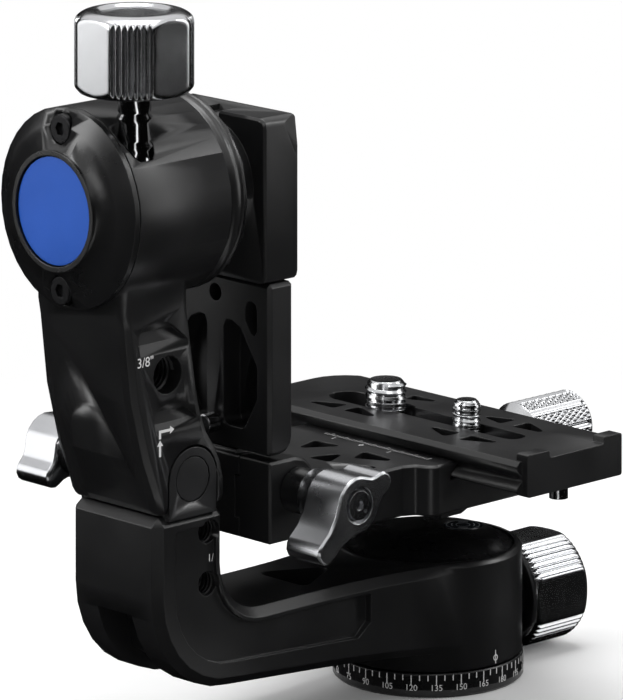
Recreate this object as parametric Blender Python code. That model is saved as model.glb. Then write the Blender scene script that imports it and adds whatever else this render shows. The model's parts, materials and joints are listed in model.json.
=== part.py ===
"""A folding gimbal tripod head, modelled in metres with +Z up.

The origin is the centre of the base's underside, on the panning axis. The tilting axis runs
along X, above the base, and the lens plate runs along Y.
"""
import math

import bmesh
import bpy
from mathutils import Matrix, Vector

MM = 0.001

# Clearances and finish shared by every piece
GAP = 0.3 * MM
RUNNING = 0.3 * MM
OVERRUN = 1.0 * MM
EDGE = 0.6 * MM
FINE_EDGE = 0.3 * MM
WELD = 0.003 * MM
HALF = 0.5
FULL_TURN = 2 * math.pi
FULL_CIRCLE = 360
ROUND_STEPS = 36
SMALL_STEPS = 16
TINY_STEPS = 12
CORNER_STEPS = 3
SHARP_TURN = 50
SQUARE_TURN = 80

# The main axes, and the radius that the panning base and the tilting barrel share
TILT_HEIGHT = 136.4 * MM
FOLD_X = -97.0 * MM
FOLD_Z = 69.1 * MM
BODY_RADIUS = 24.5 * MM


# Building blocks


def clear_scene():
    for old in list(bpy.data.objects):
        bpy.data.objects.remove(old)


def finish(name, colour, metallic, roughness):
    """One named surface finish for one piece."""
    made = bpy.data.materials.new(name)
    made.use_nodes = True
    shader = made.node_tree.nodes["Principled BSDF"]
    shader.inputs["Base Color"].default_value = (*colour, 1.0)
    shader.inputs["Metallic"].default_value = metallic
    shader.inputs["Roughness"].default_value = roughness
    return made


BLACK = ((0.012, 0.012, 0.013), 0.6, 0.38)
SATIN = ((0.02, 0.02, 0.021), 0.6, 0.3)
SILVER = ((0.62, 0.63, 0.65), 1.0, 0.28)
STEEL = ((0.5, 0.5, 0.5), 1.0, 0.22)
BRASS = ((0.6, 0.45, 0.2), 1.0, 0.3)
LINER = ((0.75, 0.74, 0.7), 0.0, 0.5)
BLUE = ((0.01, 0.09, 0.36), 0.1, 0.35)
VIAL = ((0.1, 0.11, 0.1), 0.0, 0.15)


def place(name, mesh, look):
    """Puts one mesh in the scene as a named piece with its own finish."""
    piece = bpy.data.objects.new(name, mesh)
    bpy.context.scene.collection.objects.link(piece)
    mesh.materials.clear()
    mesh.materials.append(finish(name, *look))
    return piece


def solid(name, points, faces, look):
    mesh = bpy.data.meshes.new(name)
    form = bmesh.new()
    corners = [form.verts.new(point) for point in points]
    for face in faces:
        form.faces.new([corners[index] for index in face])
    bmesh.ops.recalc_face_normals(form, faces=form.faces)
    form.to_mesh(mesh)
    form.free()
    return place(name, mesh, look)


AXIS_FRAMES = {
    "X": lambda across, up, along: (along, across, up),
    "Y": lambda across, up, along: (across, along, up),
    "Z": lambda across, up, along: (across, up, along),
}


def turned(name, profile, look, axis="Z", centre=(0, 0), steps=ROUND_STEPS):
    """A turned solid. The profile lists (radius, place along the axis), and the centre lies
    across the axis. A profile that starts and ends on the axis is solid, any other is a ring."""
    frame = AXIS_FRAMES[axis]
    points, rings = [], []
    for radius, along in profile:
        if radius == 0:
            rings.append([len(points)] * steps)
            points.append(frame(centre[0], centre[1], along))
            continue
        rings.append(list(range(len(points), len(points) + steps)))
        for step in range(steps):
            angle = FULL_TURN * step / steps
            across = centre[0] + radius * math.cos(angle)
            up = centre[1] + radius * math.sin(angle)
            points.append(frame(across, up, along))
    closed = profile[0][0] != 0
    faces = []
    pairs = list(zip(rings, rings[1:]))
    if closed:
        pairs.append((rings[-1], rings[0]))
    for low, high in pairs:
        for step in range(steps):
            after = (step + 1) % steps
            face = [low[step], low[after], high[after], high[step]]
            face = list(dict.fromkeys(face))
            if len(face) > 2:
                faces.append(face)
    return solid(name, points, faces, look)


def prism(name, outline, look, axis, low, high):
    """A flat outline pushed along an axis. Outlines lie in YZ, XZ or XY."""
    frame = AXIS_FRAMES[axis]
    count = len(outline)
    points = [frame(a, b, low) for a, b in outline] + [frame(a, b, high) for a, b in outline]
    faces = [list(range(count)), list(range(count, 2 * count))]
    for index in range(count):
        after = (index + 1) % count
        faces.append([index, after, after + count, index + count])
    return solid(name, points, faces, look)


def arc(centre, radius, start, end, steps):
    """Points along an arc, with angles in degrees."""
    points = []
    for step in range(steps + 1):
        angle = math.radians(start + (end - start) * step / steps)
        points.append((centre[0] + radius * math.cos(angle), centre[1] + radius * math.sin(angle)))
    return points


def rounded(corners, steps=CORNER_STEPS):
    """An outline with its corners rounded: each corner is (a, b) or (a, b, radius)."""
    outline = []
    count = len(corners)
    for index, corner in enumerate(corners):
        here = Vector(corner[:2])
        radius = corner[2] if len(corner) > 2 else 0
        before = Vector(corners[index - 1][:2]) - here
        after = Vector(corners[(index + 1) % count][:2]) - here
        if radius == 0:
            outline.append(tuple(here))
            continue
        turn = before.angle(after)
        reach = radius / math.tan(turn / 2)
        reach = min(reach, before.length * HALF, after.length * HALF)
        radius = reach * math.tan(turn / 2)
        first = here + before.normalized() * reach
        last = here + after.normalized() * reach
        middle = here + (before.normalized() + after.normalized()).normalized() * (
            radius / math.sin(turn / 2))
        start = math.atan2(first.y - middle.y, first.x - middle.x)
        sweep = math.atan2(last.y - middle.y, last.x - middle.x) - start
        sweep = (sweep + math.pi) % FULL_TURN - math.pi
        for step in range(steps + 1):
            angle = start + sweep * step / steps
            outline.append((middle.x + radius * math.cos(angle),
                            middle.y + radius * math.sin(angle)))
    return outline


def box(name, look, x, y, z, radius=0, axis="Z", steps=CORNER_STEPS):
    """A block between pairs of limits, with the edges along one axis rounded."""
    spans = {"X": (y, z, x), "Y": (x, z, y), "Z": (x, y, z)}[axis]
    (a0, a1), (b0, b1), (low, high) = spans
    outline = rounded([(a0, b0, radius), (a1, b0, radius), (a1, b1, radius), (a0, b1, radius)],
                      steps)
    return prism(name, outline, look, axis, low, high)


def settle(piece):
    """Makes a piece's modifiers part of its mesh, and closes the slits that thin slivers leave."""
    graph = bpy.context.evaluated_depsgraph_get()
    mesh = bpy.data.meshes.new_from_object(piece.evaluated_get(graph))
    piece.modifiers.clear()
    form = bmesh.new()
    form.from_mesh(mesh)
    bmesh.ops.remove_doubles(form, verts=form.verts, dist=WELD)
    bmesh.ops.dissolve_degenerate(form, edges=form.edges, dist=WELD)
    slits = [edge for edge in form.edges if edge.is_boundary]
    bmesh.ops.holes_fill(form, edges=slits, sides=4)
    form.to_mesh(mesh)
    form.free()
    piece.data = mesh


def combine(piece, tool, operation):
    """Cuts, joins or intersects a piece with a tool, and removes the tool."""
    step = piece.modifiers.new(operation.title(), "BOOLEAN")
    step.operation = operation
    step.solver = "EXACT"
    step.object = tool
    settle(piece)
    looks = piece.data.materials[0]
    piece.data.materials.clear()
    piece.data.materials.append(looks)
    bpy.data.objects.remove(tool)


def cut(piece, *tools):
    for tool in tools:
        combine(piece, tool, "DIFFERENCE")


def fuse(piece, *tools):
    for tool in tools:
        combine(piece, tool, "UNION")


def common(piece, *tools):
    for tool in tools:
        combine(piece, tool, "INTERSECT")


def ease(piece, width, steps=1, sharp=35):
    """Breaks a piece's sharp edges."""
    step = piece.modifiers.new("Ease", "BEVEL")
    step.width = width
    step.segments = steps
    step.limit_method = "ANGLE"
    step.angle_limit = math.radians(sharp)
    step.use_clamp_overlap = True
    settle(piece)


def mirrored(points):
    """The same outline on the other side of the second coordinate."""
    return [(a, -b) for a, b in reversed(points)]


def rod(name, look, axis, centre, radius, low, high, steps=SMALL_STEPS):
    return turned(name, [(0, low), (radius, low), (radius, high), (0, high)], look, axis, centre,
                  steps)


def tube(name, look, axis, centre, inner, outer, low, high, steps=SMALL_STEPS):
    profile = [(inner, low), (outer, low), (outer, high), (inner, high)]
    return turned(name, profile, look, axis, centre, steps)


def carry(axis_name, place_at, pieces):
    """Hangs the pieces of one moving body on an empty that stands on its joint."""
    pivot = bpy.data.objects.new(axis_name, None)
    pivot.location = place_at
    bpy.context.scene.collection.objects.link(pivot)
    bpy.context.view_layer.update()
    for piece in pieces:
        piece.parent = pivot
        piece.matrix_parent_inverse = Matrix.Translation(place_at).inverted()


clear_scene()

# Panning base: the degree ring, its tripod bush and the spindle that the head turns on
BASE_HEIGHT = 6.1 * MM
BUSH_RADIUS = 7.5 * MM
BUSH_BORE = 4.35 * MM
BUSH_HEIGHT = 12.0 * MM
SPINDLE_RADIUS = 11.0 * MM
SPINDLE_TOP = 27.0 * MM
SPINDLE_FLANGE_RADIUS = 17.0 * MM
SPINDLE_FLANGE_HEIGHT = 2.0 * MM
SPINDLE_GROOVE_RADIUS = 9.8 * MM
SPINDLE_GROOVE_LOW = 10.5 * MM
SPINDLE_GROOVE_HIGH = 19.5 * MM

base_ring = turned("base_ring", [
    (BUSH_RADIUS + GAP, 0), (BODY_RADIUS - EDGE, 0), (BODY_RADIUS, EDGE),
    (BODY_RADIUS, BASE_HEIGHT - FINE_EDGE), (BODY_RADIUS - FINE_EDGE, BASE_HEIGHT),
    (BUSH_RADIUS + GAP, BASE_HEIGHT)], BLACK)
thread_bush = turned("thread_bush", [
    (BUSH_BORE + FINE_EDGE, 0), (BUSH_RADIUS, 0), (BUSH_RADIUS, BUSH_HEIGHT),
    (BUSH_BORE, BUSH_HEIGHT), (BUSH_BORE, FINE_EDGE)], BRASS, steps=SMALL_STEPS)
spindle_low = BASE_HEIGHT + GAP
spindle_roof = BUSH_HEIGHT + GAP
pan_spindle = turned("pan_spindle", [
    (0, spindle_roof), (BUSH_RADIUS + GAP, spindle_roof), (BUSH_RADIUS + GAP, spindle_low),
    (SPINDLE_FLANGE_RADIUS, spindle_low), (SPINDLE_FLANGE_RADIUS, spindle_low + SPINDLE_FLANGE_HEIGHT),
    (SPINDLE_RADIUS, spindle_low + SPINDLE_FLANGE_HEIGHT), (SPINDLE_RADIUS, SPINDLE_GROOVE_LOW),
    (SPINDLE_GROOVE_RADIUS, SPINDLE_GROOVE_LOW + EDGE),
    (SPINDLE_GROOVE_RADIUS, SPINDLE_GROOVE_HIGH - EDGE),
    (SPINDLE_RADIUS, SPINDLE_GROOVE_HIGH), (SPINDLE_RADIUS, SPINDLE_TOP), (0, SPINDLE_TOP)],
    STEEL, steps=SMALL_STEPS)

# Panning housing and lower arm: one casting that runs out along -X and turns up to the fold
HOUSING_INSET = 0.3 * MM
HOUSING_TOP = 33.6 * MM
HOUSING_RIM_EDGE = 1.2 * MM
HOUSING_BORE = 18.0 * MM
CAP_SEAT_WALL = 2.1 * MM
CAP_SEAT_DEPTH = 2.6 * MM
CAVITY_TOP = 28.2 * MM
ARM_HALF_WIDTH = 16.0 * MM
ARM_OUTER_X = -108.7 * MM
ARM_INNER_X = -86.0 * MM
ARM_TOP = 60.9 * MM
ARM_OUTER_BEND = 25.0 * MM
ARM_INNER_BEND = 13.0 * MM
ARM_DECK = 33.2 * MM
ARM_BELLY_Z = 16.0 * MM
ARM_BELLY_RISE = 5.6 * MM
ARM_ROOT_X = -6.0 * MM
ARM_FLARE_START_X = -52.0 * MM
ARM_FLARE_INSET = 1.0 * MM
ARM_EDGE = 2.2 * MM
BEND_STEPS = 7
FLARE_STEPS = 5
EAR_RADIUS = 7.75 * MM
EAR_THICKNESS = 4.0 * MM
EAR_BORE = 3.1 * MM
PIN_HEAD_RADIUS = 5.4 * MM
PIN_HEAD_DEPTH = 1.6 * MM
PIN_SHANK_RADIUS = 2.8 * MM
RIM_WIDTH = 6.0 * MM
RIM_INNER_WIDTH = 3.2 * MM
RECESS_DEPTH = 1.1 * MM
RECESS_END_X = -37.0 * MM
RECESS_TOP = 57.0 * MM
RECESS_CORNER = 4.0 * MM
SIDE_HOLE_RADIUS = 3.1 * MM
SIDE_HOLE_DEPTH = 9.0 * MM
SIDE_HOLE_X = -91.2 * MM
SIDE_HOLE_HEIGHTS = (55.2 * MM, 42.4 * MM)
DECK_POCKET_DEPTH = 5.0 * MM
DECK_POCKET_FAR_X = -52.4 * MM
DECK_POCKET_NEAR_X = -34.5 * MM
DECK_POCKET_HALF = 9.5 * MM
DECK_POCKET_CORNER = 1.8 * MM
BEND_WINDOW_HALF = 6.2 * MM
BEND_WINDOW_LOW = 15.0 * MM
BEND_WINDOW_HIGH = 36.0 * MM
BEND_WINDOW_DEPTH = 9.0 * MM
BEND_WINDOW_CORNER = 3.0 * MM
PAN_KNOB_HEIGHT = 15.0 * MM
PAN_SHOE_RADIUS = 4.0 * MM
PAN_STEM_RADIUS = 3.6 * MM

housing_radius = BODY_RADIUS - HOUSING_INSET
cap_seat_radius = housing_radius - CAP_SEAT_WALL
flare_width = housing_radius - ARM_FLARE_INSET
outer_bend_centre = (ARM_OUTER_X + ARM_OUTER_BEND, ARM_BELLY_Z + ARM_OUTER_BEND)
inner_bend_centre = (ARM_INNER_X + ARM_INNER_BEND, ARM_DECK + ARM_INNER_BEND)
side_view = [(ARM_OUTER_X, ARM_TOP)]
side_view += arc(outer_bend_centre, ARM_OUTER_BEND, 180, 270, BEND_STEPS)
side_view += [(ARM_ROOT_X, ARM_BELLY_Z - ARM_BELLY_RISE), (ARM_ROOT_X, ARM_DECK)]
side_view += arc(inner_bend_centre, ARM_INNER_BEND, 270, 180, BEND_STEPS)
side_view += [(ARM_INNER_X, ARM_TOP)]
lower_arm = prism("lower_arm", side_view, BLACK, "Y", -flare_width - OVERRUN,
                  flare_width + OVERRUN)
flare = []
for step in range(FLARE_STEPS + 1):
    share = step / FLARE_STEPS
    swell = share * share
    flare.append((ARM_FLARE_START_X + (ARM_ROOT_X - ARM_FLARE_START_X) * share,
                  ARM_HALF_WIDTH + (flare_width - ARM_HALF_WIDTH) * swell))
plan_view = [(ARM_OUTER_X - OVERRUN, ARM_HALF_WIDTH)] + flare
plan_view += [(ARM_ROOT_X + OVERRUN, flare_width)]
plan_view += mirrored(plan_view)
common(lower_arm, prism("plan", plan_view, BLACK, "Z", 0, ARM_TOP + OVERRUN))
ease(lower_arm, ARM_EDGE, 1, SHARP_TURN)
fuse(lower_arm, turned("housing", [
    (0, spindle_low), (housing_radius - FINE_EDGE, spindle_low),
    (housing_radius, spindle_low + FINE_EDGE), (housing_radius, HOUSING_TOP - HOUSING_RIM_EDGE),
    (housing_radius - HOUSING_RIM_EDGE * HALF, HOUSING_TOP - HOUSING_RIM_EDGE * HALF * HALF),
    (housing_radius - HOUSING_RIM_EDGE, HOUSING_TOP), (0, HOUSING_TOP)], BLACK))
cut(lower_arm,
    rod("bore", BLACK, "Z", (0, 0), HOUSING_BORE, spindle_low - OVERRUN, CAVITY_TOP),
    rod("seat", BLACK, "Z", (0, 0), cap_seat_radius, HOUSING_TOP - CAP_SEAT_DEPTH,
        HOUSING_TOP + OVERRUN, ROUND_STEPS))

ear_low = ARM_TOP - OVERRUN
for side in (-1, 1):
    near, far = side * (ARM_HALF_WIDTH - EAR_THICKNESS), side * ARM_HALF_WIDTH
    ear_outline = [(FOLD_X - EAR_RADIUS, ear_low), (FOLD_X + EAR_RADIUS, ear_low)]
    ear_outline += arc((FOLD_X, FOLD_Z), EAR_RADIUS, 0, 180, TINY_STEPS)
    fuse(lower_arm, prism("ear", ear_outline, BLACK, "Y", min(near, far), max(near, far)))
cut(lower_arm,
    rod("ear_bore", BLACK, "Y", (FOLD_X, FOLD_Z), EAR_BORE, -ARM_HALF_WIDTH - OVERRUN,
        ARM_HALF_WIDTH + OVERRUN),
    rod("ear_face", BLACK, "Y", (FOLD_X, FOLD_Z), PIN_HEAD_RADIUS + GAP,
        -ARM_HALF_WIDTH - OVERRUN, PIN_HEAD_DEPTH - ARM_HALF_WIDTH))

recess = [(ARM_OUTER_X + RIM_WIDTH, RECESS_TOP)]
recess += arc(outer_bend_centre, ARM_OUTER_BEND - RIM_WIDTH, 180, 270, BEND_STEPS)
recess += [(RECESS_END_X - RECESS_CORNER, ARM_BELLY_Z + RIM_WIDTH * HALF + EDGE),
           (RECESS_END_X, ARM_BELLY_Z + RIM_WIDTH * HALF + RECESS_CORNER),
           (RECESS_END_X, ARM_DECK - RIM_INNER_WIDTH)]
recess += arc(inner_bend_centre, ARM_INNER_BEND + RIM_INNER_WIDTH, 270, 180, BEND_STEPS)
recess += [(ARM_INNER_X - RIM_INNER_WIDTH, RECESS_TOP)]
for side in (-1, 1):
    near, far = side * (ARM_HALF_WIDTH - RECESS_DEPTH), side * (ARM_HALF_WIDTH + flare_width)
    cut(lower_arm, prism("recess", recess, BLACK, "Y", min(near, far), max(near, far)))
for height in SIDE_HOLE_HEIGHTS:
    cut(lower_arm, rod("side_hole", BLACK, "Y", (SIDE_HOLE_X, height), SIDE_HOLE_RADIUS,
                       -ARM_HALF_WIDTH - OVERRUN, SIDE_HOLE_DEPTH - ARM_HALF_WIDTH, TINY_STEPS))
deck_pocket = rounded([(DECK_POCKET_FAR_X, DECK_POCKET_HALF, DECK_POCKET_CORNER),
                       (DECK_POCKET_NEAR_X, 0, DECK_POCKET_CORNER),
                       (DECK_POCKET_FAR_X, -DECK_POCKET_HALF, DECK_POCKET_CORNER)])
cut(lower_arm, prism("deck_pocket", deck_pocket, BLACK, "Z", ARM_DECK - DECK_POCKET_DEPTH,
                     ARM_DECK + OVERRUN))
window_in = ARM_OUTER_X + BEND_WINDOW_DEPTH
bend_window = [(ARM_OUTER_X - OVERRUN, BEND_WINDOW_HIGH), (ARM_OUTER_X - OVERRUN, 0),
               (outer_bend_centre[0], 0), (outer_bend_centre[0], BEND_WINDOW_LOW + OVERRUN),
               (window_in + BEND_WINDOW_CORNER, BEND_WINDOW_LOW + BEND_WINDOW_DEPTH),
               (window_in, BEND_WINDOW_HIGH)]
cut(lower_arm, prism("bend_window", bend_window, BLACK, "Y", -BEND_WINDOW_HALF,
                     BEND_WINDOW_HALF))
cut(lower_arm, rod("knob_bore", BLACK, "X", (0, PAN_KNOB_HEIGHT), PAN_SHOE_RADIUS + RUNNING,
                   SPINDLE_RADIUS, housing_radius + OVERRUN))

# Panning cap with its bubble level
CAP_TOP = 35.1 * MM
CAP_BEVEL = 3.9 * MM
CAP_RIM_RISE = 0.4 * MM
VIAL_MARGIN = 0.5 * MM
VIAL_RADIUS = 4.9 * MM
VIAL_DEPTH = 1.5 * MM
VIAL_PROUD = 0.15 * MM

cap_low = HOUSING_TOP - CAP_SEAT_DEPTH + GAP
cap_face_radius = cap_seat_radius - CAP_BEVEL
vial_x = cap_face_radius - VIAL_RADIUS - VIAL_MARGIN
pan_cap = turned("pan_cap", [
    (0, cap_low), (cap_seat_radius - GAP, cap_low), (cap_seat_radius - GAP, HOUSING_TOP - CAP_RIM_RISE),
    (cap_face_radius + EDGE + EDGE, HOUSING_TOP + FINE_EDGE), (cap_face_radius, CAP_TOP),
    (0, CAP_TOP)], SATIN)
cut(pan_cap, rod("vial_seat", BLACK, "Z", (vial_x, 0), VIAL_RADIUS + GAP, CAP_TOP - VIAL_DEPTH,
                 CAP_TOP + OVERRUN))
level_vial = turned("level_vial", [
    (0, CAP_TOP - VIAL_DEPTH + GAP), (VIAL_RADIUS, CAP_TOP - VIAL_DEPTH + GAP),
    (VIAL_RADIUS, CAP_TOP), (VIAL_RADIUS - EDGE, CAP_TOP + VIAL_PROUD), (0, CAP_TOP + VIAL_PROUD)],
    VIAL, "Z", (vial_x, 0), SMALL_STEPS)
bearing_low = spindle_low + SPINDLE_FLANGE_HEIGHT + GAP
pan_bearing = tube("pan_bearing", LINER, "Z", (0, 0), SPINDLE_RADIUS + RUNNING,
                   HOUSING_BORE - GAP, SPINDLE_GROOVE_HIGH + EDGE, SPINDLE_TOP)
pan_thrust = tube("pan_thrust", STEEL, "Z", (0, 0), SPINDLE_RADIUS + RUNNING,
                  HOUSING_BORE - GAP, bearing_low, SPINDLE_GROOVE_LOW - FINE_EDGE)

# Fluted locking knob: four flats between four fluted zones, under a rounded shoulder
KNOB_RADIUS = 14.6 * MM
KNOB_LENGTH = 20.0 * MM
KNOB_FLAT_REACH = 13.35 * MM
KNOB_FLUTE_DEPTH = 0.75 * MM
KNOB_SHOULDER = 3.0 * MM
KNOB_FOOT = 1.6 * MM
KNOB_DISH_RADIUS = 8.6 * MM
KNOB_DISH_DEPTH = 0.8 * MM
KNOB_SIDES = 4
KNOB_FLUTES = 7
KNOB_FLAT_STEPS = 2
SHOULDER_STEPS = 2
STEM_RADIUS = 4.1 * MM
STEM_BEAD_RADIUS = 4.5 * MM
STEM_NECK_RADIUS = 3.7 * MM
STEM_BEAD_SHARE = 0.07
bead_shares = (0.12, 0.56)


def fluted_section():
    """The knob's section as (angle, reach) pairs, by its flats and its flutes."""
    half_flat = math.acos(KNOB_FLAT_REACH / KNOB_RADIUS)
    section = []
    for side in range(KNOB_SIDES):
        middle = FULL_TURN * side / KNOB_SIDES
        for step in range(KNOB_FLAT_STEPS + 1):
            off = half_flat * (2 * step / KNOB_FLAT_STEPS - 1)
            section.append((middle + off, KNOB_FLAT_REACH / math.cos(off)))
        zone = FULL_TURN / KNOB_SIDES - 2 * half_flat
        for step in range(1, 2 * KNOB_FLUTES):
            reach = KNOB_RADIUS - (KNOB_FLUTE_DEPTH if step % 2 else 0)
            section.append((middle + half_flat + zone * step / (2 * KNOB_FLUTES), reach))
    return section


def lobed(name, section, levels, look, axis, centre, foot):
    """A knob along an axis. Each level is a radius that the section keeps within, and its height
    above the foot."""
    frame = AXIS_FRAMES[axis]
    points, rings = [], []
    for limit, height in levels:
        rings.append(list(range(len(points), len(points) + len(section))))
        for angle, reach in section:
            reach = min(reach, limit)
            points.append(frame(centre[0] + reach * math.cos(angle),
                                centre[1] + reach * math.sin(angle), foot + height))
    faces = [rings[0], rings[-1]]
    for low, high in zip(rings, rings[1:]):
        for step in range(len(section)):
            after = (step + 1) % len(section)
            faces.append([low[step], low[after], high[after], high[step]])
    return solid(name, points, faces, look)


def locking_knob(name, axis, centre, foot):
    """A knob whose foot stands at one place along its axis and whose face looks outward."""
    face_radius = KNOB_DISH_RADIUS + EDGE + EDGE
    levels = [(KNOB_RADIUS - KNOB_FOOT, 0), (KNOB_RADIUS, KNOB_FOOT),
              (KNOB_RADIUS, KNOB_LENGTH - KNOB_SHOULDER)]
    for step in range(1, SHOULDER_STEPS + 1):
        angle = math.pi / 2 * step / SHOULDER_STEPS
        levels.append((face_radius + (KNOB_RADIUS - face_radius) * math.cos(angle),
                       KNOB_LENGTH - KNOB_SHOULDER + KNOB_SHOULDER * math.sin(angle)))
    levels.append((KNOB_DISH_RADIUS, KNOB_LENGTH - KNOB_DISH_DEPTH))
    return lobed(name, fluted_section(), levels, SILVER, axis, centre, foot)


def knob_stem(name, look, axis, centre, tip, neck, foot):
    """A beaded stem from its tip to the knob's foot, with two beads near the knob."""
    span = foot - neck
    profile = [(0, tip), (STEM_RADIUS, tip), (STEM_RADIUS, neck)]
    for share in bead_shares:
        start = neck + span * share
        profile += [(STEM_NECK_RADIUS, start), (STEM_BEAD_RADIUS, start + span * STEM_BEAD_SHARE),
                    (STEM_NECK_RADIUS, start + 2 * span * STEM_BEAD_SHARE),
                    (STEM_RADIUS, start + 2.5 * span * STEM_BEAD_SHARE)]
    profile += [(STEM_RADIUS, foot), (0, foot)]
    return turned(name, profile, look, axis, centre, SMALL_STEPS)


# Panning lock: knob, collar, stem and the shoe that presses on the spindle
PAN_COLLAR_LENGTH = 2.2 * MM
COLLAR_RADIUS = 7.6 * MM
SHOE_LENGTH = 10.0 * MM
SHOE_TRAVEL = 1.0 * MM

pan_knob_x = housing_radius + PAN_COLLAR_LENGTH
pan_knob = locking_knob("pan_knob", "X", (0, PAN_KNOB_HEIGHT), pan_knob_x)
shoe_low = SPINDLE_GROOVE_RADIUS + GAP
stem_low = shoe_low + SHOE_LENGTH + SHOE_TRAVEL + GAP
pan_stem = turned("pan_knob_stem", [
    (0, stem_low), (PAN_STEM_RADIUS, stem_low), (PAN_STEM_RADIUS, housing_radius + GAP),
    (COLLAR_RADIUS, housing_radius + GAP), (COLLAR_RADIUS, pan_knob_x - GAP),
    (0, pan_knob_x - GAP)], SATIN, "X", (0, PAN_KNOB_HEIGHT), SMALL_STEPS)
pan_shoe = rod("pan_brake_shoe", BRASS, "X", (0, PAN_KNOB_HEIGHT), PAN_SHOE_RADIUS, shoe_low,
               shoe_low + SHOE_LENGTH)

# Folding joint: a bolt through both ears, its lever, and the block that the upper arm rides on
BLOCK_HALF_WIDTH = 4.2 * MM
BLOCK_HALF_HEIGHT = 3.6 * MM
LIFT_TRAVEL = 3.0 * MM
NOTCH_CLEARANCE = 0.6 * MM
LEVER_HUB_RADIUS = 7.0 * MM
LEVER_HUB_LENGTH = 15.4 * MM
LEVER_WING_DEPTH = 12.0 * MM
LEVER_COLLAR_RADIUS = 5.6 * MM
LEVER_COLLAR_LENGTH = 6.7 * MM
LEVER_LONG_REACH = 14.6 * MM
LEVER_LONG_TIP = 3.0 * MM
LEVER_LONG_HOLLOW = 14.0 * MM
LEVER_SHORT_REACH = 9.3 * MM
LEVER_SHORT_TIP = 2.8 * MM
LEVER_SHORT_HOLLOW = 5.0 * MM
LEVER_EDGE = 0.5 * MM
LEVER_FACE_RADIUS = 4.5 * MM
LEVER_CAP_RADIUS = 3.6 * MM
LEVER_FACE_DEPTH = 1.2 * MM
LEVER_BORE_DEPTH = 6.0 * MM
FOLD_LEVER_TURN = 24
CLAMP_LEVER_TURN = 222
WING_OPENING = 164


def wing_outline(centre, wings):
    """The outline of a hub with wings whose sides curve in. A wing is its direction in degrees, the
    place and radius of its tip, and the radius of its hollow sides."""
    sides = []
    for angle, reach, tip_radius, hollow in sorted(wings):
        tip = (centre[0] + reach * math.cos(math.radians(angle)),
               centre[1] + reach * math.sin(math.radians(angle)))
        far, near = LEVER_HUB_RADIUS + hollow, tip_radius + hollow
        spread = math.degrees(math.acos((reach ** 2 + far ** 2 - near ** 2) / (2 * reach * far)))
        curves = []
        for turn in (angle - spread, angle + spread):
            middle = (centre[0] + far * math.cos(math.radians(turn)),
                      centre[1] + far * math.sin(math.radians(turn)))
            toward = math.degrees(math.atan2(tip[1] - middle[1], tip[0] - middle[0]))
            sweep = (toward - turn) % FULL_CIRCLE - HALF * FULL_CIRCLE
            curves.append(arc(middle, hollow, toward - sweep, toward, CORNER_STEPS))
            curves[-1] = curves[-1], toward + HALF * FULL_CIRCLE
        (first, start), (last, end) = curves
        outline = first + arc(tip, tip_radius, start, start + (end - start) % FULL_CIRCLE,
                              2 * CORNER_STEPS)[1:-1] + list(reversed(last))
        sides.append((angle - spread, outline, angle + spread))
    outline = []
    for index, (_, curve, leave) in enumerate(sides):
        meet = sides[(index + 1) % len(sides)][0]
        outline += curve + arc(centre, LEVER_HUB_RADIUS, leave, leave + (meet - leave) % FULL_CIRCLE,
                               2 * CORNER_STEPS)[1:-1]
    return outline


def lever(name, centre, base, outward, turn):
    """A two-winged lever on an axis along Y, with a bore in its hub for the stud."""
    tip = base + outward * LEVER_HUB_LENGTH
    wing_base = tip - outward * LEVER_WING_DEPTH
    outline = wing_outline(centre, (
        (turn, LEVER_LONG_REACH, LEVER_LONG_TIP, LEVER_LONG_HOLLOW),
        (turn - outward * WING_OPENING, LEVER_SHORT_REACH, LEVER_SHORT_TIP, LEVER_SHORT_HOLLOW)))
    body = prism(name, outline, SILVER, "Y", min(wing_base, tip), max(wing_base, tip))
    ease(body, LEVER_EDGE, 1, SHARP_TURN)
    foot = wing_base + outward * OVERRUN
    fuse(body, rod("foot", BLACK, "Y", centre, LEVER_HUB_RADIUS - LEVER_EDGE, min(base, foot),
                   max(base, foot), ROUND_STEPS // 2))
    face = tip - outward * LEVER_FACE_DEPTH
    cut(body, rod("face", BLACK, "Y", centre, LEVER_FACE_RADIUS, min(face, tip + outward * OVERRUN),
                  max(face, tip + outward * OVERRUN)))
    bore_end = base + outward * LEVER_BORE_DEPTH
    bore_start = base - outward * OVERRUN
    cut(body, rod("bore", BLACK, "Y", centre, PIN_SHANK_RADIUS + GAP, min(bore_start, bore_end),
                  max(bore_start, bore_end), TINY_STEPS))
    return body


def lever_cap(name, centre, tip, outward):
    low = tip - outward * (LEVER_FACE_DEPTH - GAP)
    return rod(name, STEEL, "Y", centre, LEVER_CAP_RADIUS, min(low, tip), max(low, tip))


FOLD_AXIS = (FOLD_X, FOLD_Z)
fold_lever_base = ARM_HALF_WIDTH + GAP + LEVER_COLLAR_LENGTH
fold_lever = lever("fold_lever", FOLD_AXIS, fold_lever_base, 1, FOLD_LEVER_TURN)
fold_lever_cap = lever_cap("fold_lever_cap", FOLD_AXIS, fold_lever_base + LEVER_HUB_LENGTH, 1)
fold_collar = tube("fold_lever_collar", SATIN, "Y", FOLD_AXIS, PIN_SHANK_RADIUS + GAP,
                   LEVER_COLLAR_RADIUS, ARM_HALF_WIDTH + GAP, fold_lever_base - GAP)
pin_head_low = -ARM_HALF_WIDTH + FINE_EDGE * HALF
fold_bolt = turned("fold_bolt", [
    (0, pin_head_low), (PIN_HEAD_RADIUS, pin_head_low),
    (PIN_HEAD_RADIUS, PIN_HEAD_DEPTH - ARM_HALF_WIDTH - GAP),
    (PIN_SHANK_RADIUS, PIN_HEAD_DEPTH - ARM_HALF_WIDTH - GAP),
    (PIN_SHANK_RADIUS, fold_lever_base + LEVER_BORE_DEPTH - GAP),
    (0, fold_lever_base + LEVER_BORE_DEPTH - GAP)], STEEL, "Y", FOLD_AXIS, SMALL_STEPS)
ear_inner = ARM_HALF_WIDTH - EAR_THICKNESS - GAP
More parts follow.
